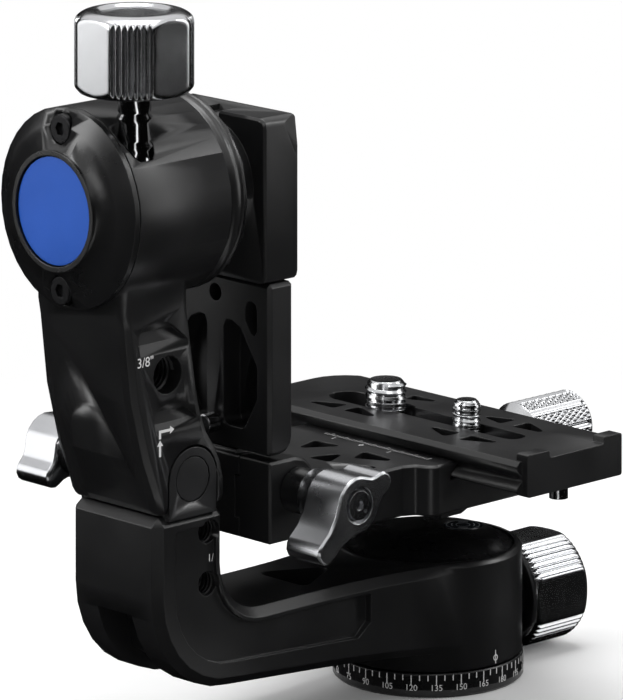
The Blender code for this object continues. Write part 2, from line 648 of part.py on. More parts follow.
fold_block = box("fold_block", STEEL, (FOLD_X - BLOCK_HALF_WIDTH, FOLD_X + BLOCK_HALF_WIDTH),
                 (-ear_inner, ear_inner), (FOLD_Z - BLOCK_HALF_HEIGHT, FOLD_Z + BLOCK_HALF_HEIGHT),
                 FINE_EDGE, "Y")
cut(fold_block, rod("bore", BLACK, "Y", FOLD_AXIS, PIN_SHANK_RADIUS + GAP,
                    -ARM_HALF_WIDTH, ARM_HALF_WIDTH))

# Upper arm and the barrel of the tilting bearing
BARREL_LOW_X = -121.8 * MM
BARREL_HIGH_X = -87.4 * MM
BARREL_GROOVE = 0.8 * MM
BARREL_GROOVE_INSET = 4.6 * MM
BARREL_LIP = 0.9 * MM
UPPER_OUTER_FOOT_X = -108.4 * MM
UPPER_OUTER_LEAN = 11.9 * MM
UPPER_INNER_FOOT_X = -85.7 * MM
UPPER_INNER_LEAN = 12.3 * MM
UPPER_EDGE = 2.4 * MM
SPINDLE_RADIUS_TILT = 8.7 * MM
DRUM_RADIUS = 11.7 * MM
DRUM_INSET = 2.2 * MM
DRUM_LENGTH = 8.6 * MM
BEARING_BORE = 13.8 * MM
BEARING_STEP = 1.4 * MM
BEARING_INSET = 1.2 * MM
SEAL_INSET = 0.7 * MM
SEAL_WIDTH = 1.1 * MM
HUB_RADIUS = 16.0 * MM
PLUG_HOLE_RADIUS = 4.7 * MM
SCOOP_DEPTH = 2.2 * MM
TILT_STEM_INSET = 5.4 * MM
TILT_KNOB_RISE = 4.9 * MM
TILT_NECK_RISE = 13.6 * MM
TILT_TIP_RISE = 5.9 * MM
COTTER_DROP = 7.4 * MM
COTTER_TRAVEL = 1.0 * MM
outer_edge_shares = ((0, 0), (0.12, 0.16), (0.28, 0.43), (0.58, 0.76), (0.92, 0.935), (1, 1))
inner_edge_shares = ((0, 0), (0.13, 0), (0.22, 0.105), (0.29, 0.245), (0.37, 0.465),
                     (0.464, 0.625), (0.576, 0.73), (0.82, 0.895), (1, 1))
plug_hole_share = (0.6824, 0.563)
SCOOP_SHOULDER = 3.0 * MM
SCOOP_CROWN = 8.0 * MM
PETAL_DEPTH = 1.5 * MM
PETAL_PROUD = 0.05 * MM
upper_scoop_shares = ((0.923, 0.2), (0.957, 0.62), (0.83, 0.94), (0.79, 0.9), (0.79, 0.2))
lower_scoop_shares = ((0.517, 0.28), (0.564, 0.67), (0.434, 0.94), (0.4, 0.88), (0.4, 0.26))
scoop_floor_shares = ((0, 0), (0.35, 0.5), (0.7, 0.86), (1, 1))
petal_rim_shares = (
    (-0.02, 0.85), (0.25, 0.844), (0.49, 0.8), (0.65, 0.67), (0.745, 0.44), (0.715, 0.17),
    (0.64, -0.04), (0.545, -0.21), (0.37, -0.48), (0.19, -0.719))
petal_leaf_shares = (
    (-0.02, 0.56), (0.16, 0.585), (0.3, 0.59), (0.42, 0.51), (0.502, 0.3), (0.525, 0.069),
    (0.48, -0.17), (0.4, -0.37), (0.3, -0.55), (0.183, -0.725))
petal_depth_shares = (0.45, 0.6, 0.85, 1, 1, 1, 0.9, 0.7, 0.4, 0.05)

upper_low = ARM_TOP + GAP
upper_waist = TILT_HEIGHT - BODY_RADIUS - upper_low
drum_low_x = BARREL_LOW_X + DRUM_INSET
drum_high_x = drum_low_x + DRUM_LENGTH
bearing_low_x = drum_high_x + BEARING_STEP
TILT_STEM = (BARREL_LOW_X + TILT_STEM_INSET, -DRUM_RADIUS - GAP - STEM_RADIUS)
tilt_knob_foot = TILT_HEIGHT + BODY_RADIUS + TILT_KNOB_RISE
tilt_stem_neck = TILT_HEIGHT + TILT_NECK_RISE
tilt_stem_tip = TILT_HEIGHT + TILT_TIP_RISE
cotter_low = TILT_HEIGHT - COTTER_DROP
outer_edge = [(UPPER_OUTER_FOOT_X - UPPER_OUTER_LEAN * lean, upper_low + upper_waist * rise)
              for rise, lean in outer_edge_shares]
inner_edge = [(UPPER_INNER_FOOT_X - UPPER_INNER_LEAN * lean, upper_low + upper_waist * rise)
              for rise, lean in inner_edge_shares]


def edge_at(edge, height):
    """Where a leaning edge stands at one height."""
    for (x0, z0), (x1, z1) in zip(edge, edge[1:]):
        if height <= z1:
            return x0 + (x1 - x0) * (height - z0) / (z1 - z0)
    return edge[-1][0]


upper_outline = outer_edge + [(outer_edge[-1][0], TILT_HEIGHT), (inner_edge[-1][0], TILT_HEIGHT)]
upper_outline += list(reversed(inner_edge))
upper_arm = prism("upper_arm", upper_outline, BLACK, "Y", -ARM_HALF_WIDTH, ARM_HALF_WIDTH)
ease(upper_arm, UPPER_EDGE, 2, SHARP_TURN)
groove_x = BARREL_HIGH_X - BARREL_GROOVE_INSET
fuse(upper_arm, turned("barrel", [
    (0, BARREL_LOW_X), (BODY_RADIUS, BARREL_LOW_X), (BODY_RADIUS, groove_x),
    (BODY_RADIUS - BARREL_GROOVE, groove_x + BARREL_GROOVE * HALF),
    (BODY_RADIUS, groove_x + BARREL_GROOVE),
    (BODY_RADIUS, BARREL_HIGH_X - BARREL_LIP - BARREL_GROOVE),
    (BODY_RADIUS - BARREL_GROOVE * HALF, BARREL_HIGH_X - BARREL_LIP),
    (BODY_RADIUS, BARREL_HIGH_X - BARREL_LIP * HALF), (BODY_RADIUS - FINE_EDGE, BARREL_HIGH_X),
    (0, BARREL_HIGH_X)], BLACK, "X", (0, TILT_HEIGHT)))

def arm_point(rise, across):
    """A point on the upper arm's side, by its shares of the height and of the width there."""
    height = upper_low + upper_waist * rise
    low_x = edge_at(outer_edge, height)
    return low_x + (edge_at(inner_edge, height) - low_x) * across, height


def flowing(points, steps=2):
    """A smooth run through the given points, of any number of values each."""
    run = []
    for index in range(len(points) - 1):
        window = [points[max(index - 1, 0)], points[index], points[index + 1],
                  points[min(index + 2, len(points) - 1)]]
        for step in range(steps):
            part = step / steps
            run.append(tuple(
                HALF * (2 * b + (c - a) * part + (2 * a - 5 * b + 4 * c - d) * part ** 2
                        + (3 * b - a - 3 * c + d) * part ** 3) for a, b, c, d in zip(*window)))
    return run + [points[-1]]


notch_radius = EAR_RADIUS + NOTCH_CLEARANCE
for side in (-1, 1):
    near, far = side * ear_inner, side * (ARM_HALF_WIDTH + OVERRUN)
    notch = [(FOLD_X - notch_radius, ARM_TOP - OVERRUN), (FOLD_X + notch_radius, ARM_TOP - OVERRUN)]
    notch += arc(FOLD_AXIS, notch_radius, 0, 180, TINY_STEPS)
    cut(upper_arm, prism("notch", notch, BLACK, "Y", min(near, far), max(near, far)))
scoop_bends = (SCOOP_SHOULDER, SCOOP_CROWN, SCOOP_SHOULDER, 0, 0)
for shares in (upper_scoop_shares, lower_scoop_shares):
    outline = rounded([(*arm_point(*share), bend) for share, bend in zip(shares, scoop_bends)])
    low_z, high_z = min(point[1] for point in outline), max(point[1] for point in outline)
    for side in (-1, 1):
        near = side * (ARM_HALF_WIDTH - SCOOP_DEPTH - OVERRUN)
        far = side * (ARM_HALF_WIDTH + OVERRUN)
        scoop = prism("scoop", outline, BLACK, "Y", min(near, far), max(near, far))
        ramp = [(side * (ARM_HALF_WIDTH - SCOOP_DEPTH * deep), low_z + (high_z - low_z) * rise)
                for rise, deep in scoop_floor_shares]
        ramp += [(side * (ARM_HALF_WIDTH - SCOOP_DEPTH), high_z + OVERRUN),
                 (side * (ARM_HALF_WIDTH + OVERRUN + OVERRUN), high_z + OVERRUN),
                 (side * (ARM_HALF_WIDTH + OVERRUN + OVERRUN), low_z)]
        common(scoop, prism("ramp", ramp, BLACK, "X", BARREL_LOW_X, BARREL_HIGH_X))
        cut(upper_arm, scoop)

# A leaf stands in a hollow on the arm's outer face: the hollow is cut from its rim down to the leaf
points, faces = [], []
stations = flowing([(*rim, *leaf, deep) for rim, leaf, deep in
                    zip(petal_rim_shares, petal_leaf_shares, petal_depth_shares)])
for rim_rise, rim_across, leaf_rise, leaf_across, deep in stations:
    rim_z, leaf_z = upper_low + upper_waist * rim_rise, upper_low + upper_waist * leaf_rise
    rim_x, leaf_x = edge_at(outer_edge, rim_z), edge_at(outer_edge, leaf_z)
    rim_y, leaf_y = ARM_HALF_WIDTH * rim_across, ARM_HALF_WIDTH * leaf_across
    points += [(rim_x - PETAL_PROUD, rim_y, rim_z), (leaf_x + PETAL_DEPTH * deep, leaf_y, leaf_z),
               (leaf_x - OVERRUN, leaf_y, leaf_z), (rim_x - OVERRUN, rim_y, rim_z)]
for start in range(0, len(points) - 4, 4):
    faces += [(start + corner, start + (corner + 1) % 4, start + 4 + (corner + 1) % 4,
               start + 4 + corner) for corner in range(4)]
faces += [(0, 1, 2, 3), tuple(len(points) - 4 + corner for corner in range(4))]
cut(upper_arm, solid("petal", points, faces, BLACK))

plug_hole = arm_point(*plug_hole_share)
cut(upper_arm, rod("plug_hole", BLACK, "Y", plug_hole, PLUG_HOLE_RADIUS,
                   -ARM_HALF_WIDTH - OVERRUN, ARM_HALF_WIDTH + OVERRUN))
slot_low = FOLD_Z - BLOCK_HALF_HEIGHT - GAP - LIFT_TRAVEL
cut(upper_arm, box("slot", BLACK, (FOLD_X - BLOCK_HALF_WIDTH - GAP, FOLD_X + BLOCK_HALF_WIDTH + GAP),
                   (-ARM_HALF_WIDTH, ARM_HALF_WIDTH), (slot_low, FOLD_Z + BLOCK_HALF_HEIGHT + GAP)),
    rod("bearing_bore", BLACK, "X", (0, TILT_HEIGHT), BEARING_BORE, bearing_low_x,
        BARREL_HIGH_X + OVERRUN, ROUND_STEPS // 2),
    rod("drum_bore", BLACK, "X", (0, TILT_HEIGHT), DRUM_RADIUS + GAP, drum_low_x - GAP,
        bearing_low_x + OVERRUN, ROUND_STEPS // 2),
    rod("cotter_bore", BLACK, "Z", TILT_STEM, STEM_RADIUS + GAP,
        cotter_low - COTTER_TRAVEL, TILT_HEIGHT + BODY_RADIUS),
    rod("neck_bore", BLACK, "Z", TILT_STEM, STEM_BEAD_RADIUS + GAP,
        tilt_stem_neck - GAP, TILT_HEIGHT + BODY_RADIUS + OVERRUN))

tilt_bearing = tube("tilt_bearing", LINER, "X", (0, TILT_HEIGHT), SPINDLE_RADIUS_TILT + RUNNING,
                    BEARING_BORE - GAP, bearing_low_x + GAP, BARREL_HIGH_X - BEARING_INSET,
                    ROUND_STEPS // 2)
tilt_seal = tube("tilt_seal", SATIN, "X", (0, TILT_HEIGHT), SPINDLE_RADIUS_TILT + RUNNING,
                 BODY_RADIUS - SEAL_INSET, BARREL_HIGH_X + GAP, BARREL_HIGH_X + GAP + SEAL_WIDTH)

# End cap of the barrel, with its bare disc and two screws
CAP_RIM = 1.5 * MM
CAP_DOME = 2.3 * MM
CAP_SHOULDER_INSET = 4.0 * MM
CAP_BEZEL_INSET = 9.8 * MM
CAP_CROWN = 3.6 * MM
CAP_BEZEL_RISE = 1.4 * MM
CAP_BEZEL_WALL = 1.3 * MM
DISC_SINK = 0.6 * MM
DISC_THICKNESS = 1.6 * MM
SCREW_HEAD_RADIUS = 3.65 * MM
SCREW_HEAD_DEPTH = 1.9 * MM
SCREW_SHANK_RADIUS = 1.8 * MM
SCREW_SHANK_LENGTH = 6.0 * MM
CAP_SCREW_INSET = 4.9 * MM

cap_base = BARREL_LOW_X - GAP
bezel_radius = BODY_RADIUS - CAP_BEZEL_INSET
disc_radius = bezel_radius - CAP_BEZEL_WALL - GAP
cap_edge = cap_base - CAP_RIM
cap_top = cap_edge - CAP_CROWN
bezel_top = cap_top - CAP_BEZEL_RISE
tilt_cap = turned("tilt_cap", [
    (0, cap_base), (BODY_RADIUS, cap_base), (BODY_RADIUS, cap_edge),
    (BODY_RADIUS - CAP_SHOULDER_INSET, cap_edge - CAP_DOME), (bezel_radius, cap_top),
    (bezel_radius, bezel_top), (disc_radius + GAP, bezel_top),
    (disc_radius + GAP, bezel_top + DISC_SINK + DISC_THICKNESS + GAP),
    (0, bezel_top + DISC_SINK + DISC_THICKNESS + GAP)], BLACK, "X", (0, TILT_HEIGHT))
cap_disc = rod("cap_disc", BLUE, "X", (0, TILT_HEIGHT), disc_radius, bezel_top + DISC_SINK,
               bezel_top + DISC_SINK + DISC_THICKNESS, ROUND_STEPS)
cap_screws = []
screw_floor = cap_edge - FINE_EDGE
for number, side in enumerate((1, -1), 1):
    centre = (0, TILT_HEIGHT + side * (BODY_RADIUS - CAP_SCREW_INSET))
    cut(tilt_cap,
        rod("counterbore", BLACK, "X", centre, SCREW_HEAD_RADIUS + GAP, bezel_top, screw_floor),
        rod("screw_bore", BLACK, "X", centre, SCREW_SHANK_RADIUS + GAP, screw_floor - OVERRUN,
            cap_base + OVERRUN, TINY_STEPS))
    cut(upper_arm, rod("screw_bore", BLACK, "X", centre, SCREW_SHANK_RADIUS + GAP, cap_base,
                       BARREL_LOW_X + SCREW_SHANK_LENGTH, TINY_STEPS))
    head_low = screw_floor - GAP
    cap_screws.append(turned(f"cap_screw_{number}", [
        (0, head_low - SCREW_HEAD_DEPTH), (SCREW_HEAD_RADIUS - FINE_EDGE, head_low - SCREW_HEAD_DEPTH),
        (SCREW_HEAD_RADIUS, head_low - SCREW_HEAD_DEPTH + FINE_EDGE), (SCREW_HEAD_RADIUS, head_low),
        (SCREW_SHANK_RADIUS, head_low), (SCREW_SHANK_RADIUS, BARREL_LOW_X + SCREW_SHANK_LENGTH - GAP),
        (0, BARREL_LOW_X + SCREW_SHANK_LENGTH - GAP)], STEEL, "X", centre, TINY_STEPS))

# Tilting lock: knob, beaded stem and the cotter beside the spindle's drum
tilt_knob = locking_knob("tilt_knob", "Z", TILT_STEM, tilt_knob_foot)
tilt_stem = knob_stem("tilt_knob_stem", STEEL, "Z", TILT_STEM, tilt_stem_tip,
                      tilt_stem_neck, tilt_knob_foot - GAP)
tilt_cotter = rod("tilt_cotter", BRASS, "Z", TILT_STEM, STEM_RADIUS, cotter_low,
                  tilt_stem_tip - GAP)

# Swinging head with its spindle, and the vertical rail below it
HEAD_LOW_X = -76.7 * MM
HEAD_THICKNESS = 11.7 * MM
HEAD_HALF_WIDTH = 20.0 * MM
HEAD_DROP = 22.8 * MM
HEAD_RISE = 17.9 * MM
HEAD_CORNER = 2.2 * MM
HEAD_SWELL = 2.3 * MM
HEAD_SWELL_HALF = 16.0 * MM
HEAD_CHANNEL_HALF = 3.5 * MM
HEAD_CHANNEL_DEPTH = 7.0 * MM
FACET_REACH = 6.5 * MM
FACET_DROP = 14.3 * MM
FACET_DEPTH = 2.0 * MM
HUB_CHAMFER = 0.8 * MM
RAIL_THICKNESS = 8.3 * MM
RAIL_INSET = 2.1 * MM
RAIL_HALF_WIDTH = 19.5 * MM
RAIL_LOW_Z = 71.0 * MM
RAIL_CORNER = 4.0 * MM
RAIL_FACE_EDGE = 1.0 * MM
TENON_HEIGHT = 6.0 * MM
TENON_HALF_WIDTH = 12.0 * MM
TENON_INSET = 1.6 * MM
POCKET_DEPTH = 5.6 * MM
POCKET_INNER = 3.0 * MM
POCKET_OUTER = 15.0 * MM
POCKET_FOOT = 5.5 * MM
POCKET_DROP = 4.9 * MM
POCKET_CORNER = 2.0 * MM
RAIL_BOSS_DROP = 4.6 * MM
RAIL_HOLE_RADIUS = 2.2 * MM
STOP_SCREW_RISE = 5.6 * MM
STOP_SCREW_RADIUS = 2.5 * MM
STOP_SCREW_REACH = 4.4 * MM
STOP_SCREW_DEPTH = 4.0 * MM
lattice_shares = ((0, 0), (0.62, 0), (1, 0.25), (1, 0.5), (0.5, 0.78), (0, 0.86))
lattice_high_shares = ((0.64, 0.84), (1, 0.66), (1, 1), (0.66, 1))

head_high_x = HEAD_LOW_X + HEAD_THICKNESS
head_low_z = TILT_HEIGHT - HEAD_DROP
head_top_z = TILT_HEIGHT + HEAD_RISE
swing_head = box("swing_head", BLACK, (HEAD_LOW_X, head_high_x),
                 (-HEAD_HALF_WIDTH, HEAD_HALF_WIDTH), (head_low_z, head_top_z), HEAD_CORNER, "X")
swell_low, swell_high = head_low_z + HEAD_CORNER, head_top_z - HEAD_CORNER
swell = [(HEAD_LOW_X + HEAD_CORNER, swell_low)]
for step in range(FLARE_STEPS + 1):
    share = step / FLARE_STEPS
    swell.append((head_high_x + HEAD_SWELL * math.sin(math.pi * share),
                  swell_low + (swell_high - swell_low) * share))
swell.append((HEAD_LOW_X + HEAD_CORNER, swell_high))
ease(swing_head, EDGE, 1, SHARP_TURN)
swell_form = prism("swell", swell, BLACK, "Y", -HEAD_SWELL_HALF, HEAD_SWELL_HALF)
ease(swell_form, EDGE + EDGE, 1, SQUARE_TURN)
fuse(swing_head, swell_form)
for side in (-1, 1):
    face_y = side * HEAD_HALF_WIDTH
    out_y = face_y + side * OVERRUN
    reach_x = head_high_x + OVERRUN
    lift_z = head_top_z + OVERRUN
    facet = [(head_high_x - FACET_REACH, face_y, lift_z), (reach_x, face_y, head_top_z - FACET_DROP),
             (reach_x, face_y - side * FACET_DEPTH, lift_z),
             (head_high_x - FACET_REACH, out_y, lift_z), (reach_x, out_y, head_top_z - FACET_DROP),
             (reach_x, out_y, lift_z)]
    cut(swing_head, solid("facet", facet, [(0, 1, 2), (3, 4, 5), (0, 1, 4, 3), (1, 2, 5, 4),
                                           (2, 0, 3, 5)], BLACK))
fuse(swing_head, turned("hub", [
    (0, BARREL_HIGH_X + GAP + SEAL_WIDTH + GAP),
    (HUB_RADIUS - HUB_CHAMFER, BARREL_HIGH_X + GAP + SEAL_WIDTH + GAP),
    (HUB_RADIUS, BARREL_HIGH_X + GAP + SEAL_WIDTH + GAP + HUB_CHAMFER),
    (HUB_RADIUS, HEAD_LOW_X + HEAD_CORNER), (0, HEAD_LOW_X + HEAD_CORNER)], BLACK, "X",
    (0, TILT_HEIGHT)))
cut(swing_head, box("channel", BLACK, (HEAD_LOW_X - OVERRUN, HEAD_LOW_X + HEAD_CHANNEL_DEPTH),
                    (-HEAD_CHANNEL_HALF, HEAD_CHANNEL_HALF),
                    (TILT_HEIGHT + HUB_RADIUS + FINE_EDGE, head_top_z + OVERRUN)))
hub_face = BARREL_HIGH_X + GAP + SEAL_WIDTH + GAP
spindle_end = HEAD_LOW_X + HEAD_CORNER
cut(swing_head, rod("spindle_bore", BLACK, "X", (0, TILT_HEIGHT), SPINDLE_RADIUS_TILT + GAP,
                    hub_face - OVERRUN, spindle_end + GAP, ROUND_STEPS // 2))
tilt_spindle = turned("tilt_spindle", [
    (0, drum_low_x), (DRUM_RADIUS, drum_low_x), (DRUM_RADIUS, drum_high_x),
    (SPINDLE_RADIUS_TILT, drum_high_x), (SPINDLE_RADIUS_TILT, spindle_end), (0, spindle_end)],
    STEEL, "X", (0, TILT_HEIGHT), ROUND_STEPS // 2)

rail_low_x = HEAD_LOW_X + RAIL_INSET
rail_high_x = rail_low_x + RAIL_THICKNESS
rail_top = head_low_z - GAP
pocket_low = RAIL_LOW_Z + POCKET_FOOT
pocket_high = rail_top - POCKET_DROP
stop_screw_z = RAIL_LOW_Z + STOP_SCREW_RISE
rail_side = rounded([(rail_low_x, RAIL_LOW_Z, RAIL_FACE_EDGE), (rail_high_x, RAIL_LOW_Z, RAIL_CORNER),
                     (rail_high_x, rail_top), (rail_low_x, rail_top)])
vertical_rail = prism("vertical_rail", rail_side, BLACK, "Y", -RAIL_HALF_WIDTH, RAIL_HALF_WIDTH)
ease(vertical_rail, RAIL_FACE_EDGE, 1, SHARP_TURN)
tenon_x = (rail_low_x + TENON_INSET, rail_high_x - TENON_INSET)
fuse(vertical_rail, box("tenon", BLACK, tenon_x, (-TENON_HALF_WIDTH, TENON_HALF_WIDTH),
                        (rail_top - OVERRUN - OVERRUN, rail_top + TENON_HEIGHT), FINE_EDGE))
cut(swing_head, box("socket", BLACK, (tenon_x[0] - GAP, tenon_x[1] + GAP),
                    (-TENON_HALF_WIDTH - GAP, TENON_HALF_WIDTH + GAP),
                    (head_low_z - OVERRUN, rail_top + TENON_HEIGHT + GAP), FINE_EDGE))
for shares in (lattice_shares, lattice_high_shares):
    for side in (-1, 1):
        corners = [(side * (POCKET_INNER + (POCKET_OUTER - POCKET_INNER) * across),
                    pocket_low + (pocket_high - pocket_low) * rise, POCKET_CORNER)
                   for across, rise in shares]
        cut(vertical_rail, prism("pocket", rounded(corners, 2), BLACK, "X", rail_low_x - OVERRUN,
                                 rail_low_x + POCKET_DEPTH))
boss_z = rail_top - RAIL_BOSS_DROP
cut(vertical_rail,
    rod("boss_hole", BLACK, "X", (0, boss_z), RAIL_HOLE_RADIUS, rail_low_x - OVERRUN,
        rail_low_x + POCKET_DEPTH, TINY_STEPS),
    rod("stop_bore", BLACK, "X", (0, stop_screw_z), STOP_SCREW_RADIUS * HALF + GAP,
        rail_low_x - OVERRUN, rail_low_x + STOP_SCREW_DEPTH + GAP, TINY_STEPS))
stop_face = rail_low_x - GAP
rail_stop_screw = turned("rail_stop_screw", [
    (0, rail_low_x - STOP_SCREW_REACH), (STOP_SCREW_RADIUS - FINE_EDGE, rail_low_x - STOP_SCREW_REACH),
    (STOP_SCREW_RADIUS, rail_low_x - STOP_SCREW_REACH + FINE_EDGE), (STOP_SCREW_RADIUS, stop_face),
    (STOP_SCREW_RADIUS * HALF, stop_face), (STOP_SCREW_RADIUS * HALF, rail_low_x + STOP_SCREW_DEPTH),
    (0, rail_low_x + STOP_SCREW_DEPTH)], STEEL, "X", (0, stop_screw_z), TINY_STEPS)

# Lower clamp: a fixed body under the rail, the jaw that the lever draws in, and the stud
CLAMP_HIGH_X = -59.3 * MM
CLAMP_LOW_Z = 49.5 * MM
RAIL_STANDOFF = 1.4 * MM
CLAMP_HALF_WIDTH = 19.6 * MM
PARTING_Y = -8.5 * MM
PARTING_STEP = 1.6 * MM
PARTING_STEP_HEIGHT = 10.6 * MM
CLAMP_LEVER_X = -65.6 * MM
CLAMP_LEVER_Z = 61.8 * MM
CLAMP_SHOULDER = 6.3 * MM
STUD_REACH_Y = 6.0 * MM
TONGUE_LOW_X = -66.5 * MM
TONGUE_TRAVEL = 6.0 * MM
TONGUE_HALF_TOP = 9.0 * MM
TONGUE_HALF_BASE = 11.5 * MM
TONGUE_LOW_Z = 51.2 * MM
TONGUE_HIGH_Z = 58.0 * MM

CLAMP_AXIS = (CLAMP_LEVER_X, CLAMP_LEVER_Z)
clamp_top_z = RAIL_LOW_Z - RAIL_STANDOFF
shoulder = rounded([(rail_low_x, CLAMP_LOW_Z, EDGE), (CLAMP_HIGH_X, CLAMP_LOW_Z, EDGE),
                    (CLAMP_HIGH_X, clamp_top_z, CLAMP_SHOULDER), (rail_low_x, clamp_top_z, EDGE)])
parting_middle = (CLAMP_LOW_Z + clamp_top_z) * HALF
step_low = parting_middle - PARTING_STEP_HEIGHT * HALF
step_high = parting_middle + PARTING_STEP_HEIGHT * HALF


def jaw_side(shift):
    """The space on the jaw's side of the parting, shifted away from the body."""
    return [(-CLAMP_HALF_WIDTH - OVERRUN, CLAMP_LOW_Z - OVERRUN), (PARTING_Y - shift, CLAMP_LOW_Z - OVERRUN),
            (PARTING_Y - shift, step_low + shift), (PARTING_Y + PARTING_STEP - shift, step_low + shift),
            (PARTING_Y + PARTING_STEP - shift, step_high - shift), (PARTING_Y - shift, step_high - shift),
            (PARTING_Y - shift, clamp_top_z + OVERRUN), (-CLAMP_HALF_WIDTH - OVERRUN, clamp_top_z + OVERRUN)]


clamp_body = prism("clamp_body", shoulder, BLACK, "Y", -CLAMP_HALF_WIDTH, CLAMP_HALF_WIDTH)
ease(clamp_body, EDGE, 1, SHARP_TURN)
clamp_jaw = prism("clamp_jaw", shoulder, BLACK, "Y", -CLAMP_HALF_WIDTH, CLAMP_HALF_WIDTH)
ease(clamp_jaw, EDGE, 1, SHARP_TURN)
cut(clamp_body, prism("jaw_space", jaw_side(0), BLACK, "X", rail_low_x - OVERRUN,
                      CLAMP_HIGH_X + OVERRUN))
common(clamp_jaw, prism("jaw_space", jaw_side(GAP), BLACK, "X", rail_low_x - OVERRUN,
                        CLAMP_HIGH_X + OVERRUN))
fuse(clamp_body, box("rail_foot", BLACK, (rail_low_x + EDGE, rail_high_x - RAIL_CORNER),
                     (PARTING_Y + PARTING_STEP, CLAMP_HALF_WIDTH - EDGE),
                     (clamp_top_z - OVERRUN, RAIL_LOW_Z - GAP)))


def tongue_section(clearance):
    return [(-TONGUE_HALF_BASE - clearance, TONGUE_LOW_Z - clearance),
            (TONGUE_HALF_BASE + clearance, TONGUE_LOW_Z - clearance),
            (TONGUE_HALF_TOP + clearance, TONGUE_HIGH_Z + clearance),
            (-TONGUE_HALF_TOP - clearance, TONGUE_HIGH_Z + clearance)]


for half in (clamp_body, clamp_jaw):
    cut(half,
        prism("tongue_space", tongue_section(GAP), BLACK, "X",
              TONGUE_LOW_X - TONGUE_TRAVEL - GAP, CLAMP_HIGH_X + OVERRUN),
        rod("stud_bore", BLACK, "Y", CLAMP_AXIS, PIN_SHANK_RADIUS + GAP,
            -CLAMP_HALF_WIDTH - OVERRUN, STUD_REACH_Y + OVERRUN, TINY_STEPS))
collar_face = -CLAMP_HALF_WIDTH - GAP
clamp_lever_base = collar_face - LEVER_COLLAR_LENGTH
lever_collar = tube("clamp_lever_collar", SATIN, "Y", CLAMP_AXIS, PIN_SHANK_RADIUS + GAP,
                    LEVER_COLLAR_RADIUS, clamp_lever_base + GAP, collar_face)
clamp_lever = lever("clamp_lever", CLAMP_AXIS, clamp_lever_base, -1, CLAMP_LEVER_TURN)
clamp_lever_cap = lever_cap("clamp_lever_cap", CLAMP_AXIS, clamp_lever_base - LEVER_HUB_LENGTH, -1)
clamp_stud = rod("clamp_stud", STEEL, "Y", CLAMP_AXIS, PIN_SHANK_RADIUS,
                 clamp_lever_base - LEVER_BORE_DEPTH + GAP, STUD_REACH_Y, SMALL_STEPS)

# Platform: tongue, neck and the bed with its fixed dovetail jaw
PLATFORM_TOP = 61.7 * MM
PLATFORM_LOW = 49.0 * MM
PLATFORM_LOW_X = -52.0 * MM
NECK_HALF_WIDTH = 21.5 * MM
BED_WALL = 6.5 * MM
BED_INSET = 0.4 * MM
BED_HALF_LENGTH = 27.5 * MM
SCALLOP_RUN = 3.5 * MM
SCALLOP_DEPTH = 1.6 * MM
NECK_CORNER = 5.0 * MM
BED_CORNER = 3.0 * MM
PLATFORM_EDGE = 0.8 * MM
BED_FLOOR = 57.5 * MM
PLATE_HALF_WIDTH = 19.0 * MM
PLATE_TOP_INSET = 1.2 * MM
PLATE_GROOVE = 2.4 * MM
PLATE_TOP = 65.6 * MM
PLATE_LOW = 57.8 * MM
PLATE_WAIST_Z = 61.2 * MM
PLATE_LIP = 0.9 * MM
PLATE_LOW_EDGE = 0.5 * MM
STEP_LOW_Z = 46.6 * MM
STEP_LOW_X = -18.0 * MM
STEP_HIGH_X = -5.1 * MM
STEP_RUN = 5.8 * MM
STEP_HALF_LENGTH = 22.8 * MM
TOP_POCKET_DEPTH = 4.0 * MM
TOP_POCKET_CORNER = 1.2 * MM
LENS_AXIS_Z = 55.0 * MM
LENS_SCREW_RADIUS = 1.6 * MM
LENS_SCREW_X = 4.0 * MM
top_pocket_shares = (
    ((0.566, 0.48), (0.913, 0.6), (0.958, 0.144)), ((0.392, 0.088), (0.766, -0.093), (0.423, -0.274)),
    ((0.687, -0.33), (0.951, -0.18), (0.902, -0.842)),
    ((0.204, -0.5), (0.32, -0.44), (0.6, -0.74), (0.604, -0.84), (0.49, -0.86)))

plate_waist_half = PLATE_HALF_WIDTH - PLATE_GROOVE
bed_low_x = -PLATE_HALF_WIDTH - BED_WALL
bed_high_x = PLATE_HALF_WIDTH + BED_INSET
scallop_x = bed_low_x - SCALLOP_RUN
outline = rounded([(PLATFORM_LOW_X, -NECK_HALF_WIDTH, NECK_CORNER),
                   (scallop_x - SCALLOP_DEPTH, -NECK_HALF_WIDTH, SCALLOP_DEPTH),
                   (scallop_x + SCALLOP_DEPTH, -NECK_HALF_WIDTH - SCALLOP_DEPTH, SCALLOP_DEPTH),
                   (bed_low_x, -BED_HALF_LENGTH, BED_CORNER),
                   (bed_high_x, -BED_HALF_LENGTH, EDGE), (bed_high_x, BED_HALF_LENGTH, EDGE),
                   (bed_low_x, BED_HALF_LENGTH, BED_CORNER),
                   (scallop_x + SCALLOP_DEPTH, NECK_HALF_WIDTH + SCALLOP_DEPTH, SCALLOP_DEPTH),
                   (scallop_x - SCALLOP_DEPTH, NECK_HALF_WIDTH, SCALLOP_DEPTH),
                   (PLATFORM_LOW_X, NECK_HALF_WIDTH, NECK_CORNER)])
platform = prism("platform", outline, BLACK, "Z", PLATFORM_LOW, PLATFORM_TOP)
ease(platform, PLATFORM_EDGE, 1, SHARP_TURN)
tongue = prism("tongue", tongue_section(0), BLACK, "X", TONGUE_LOW_X, PLATFORM_LOW_X + OVERRUN)
fuse(platform, tongue)


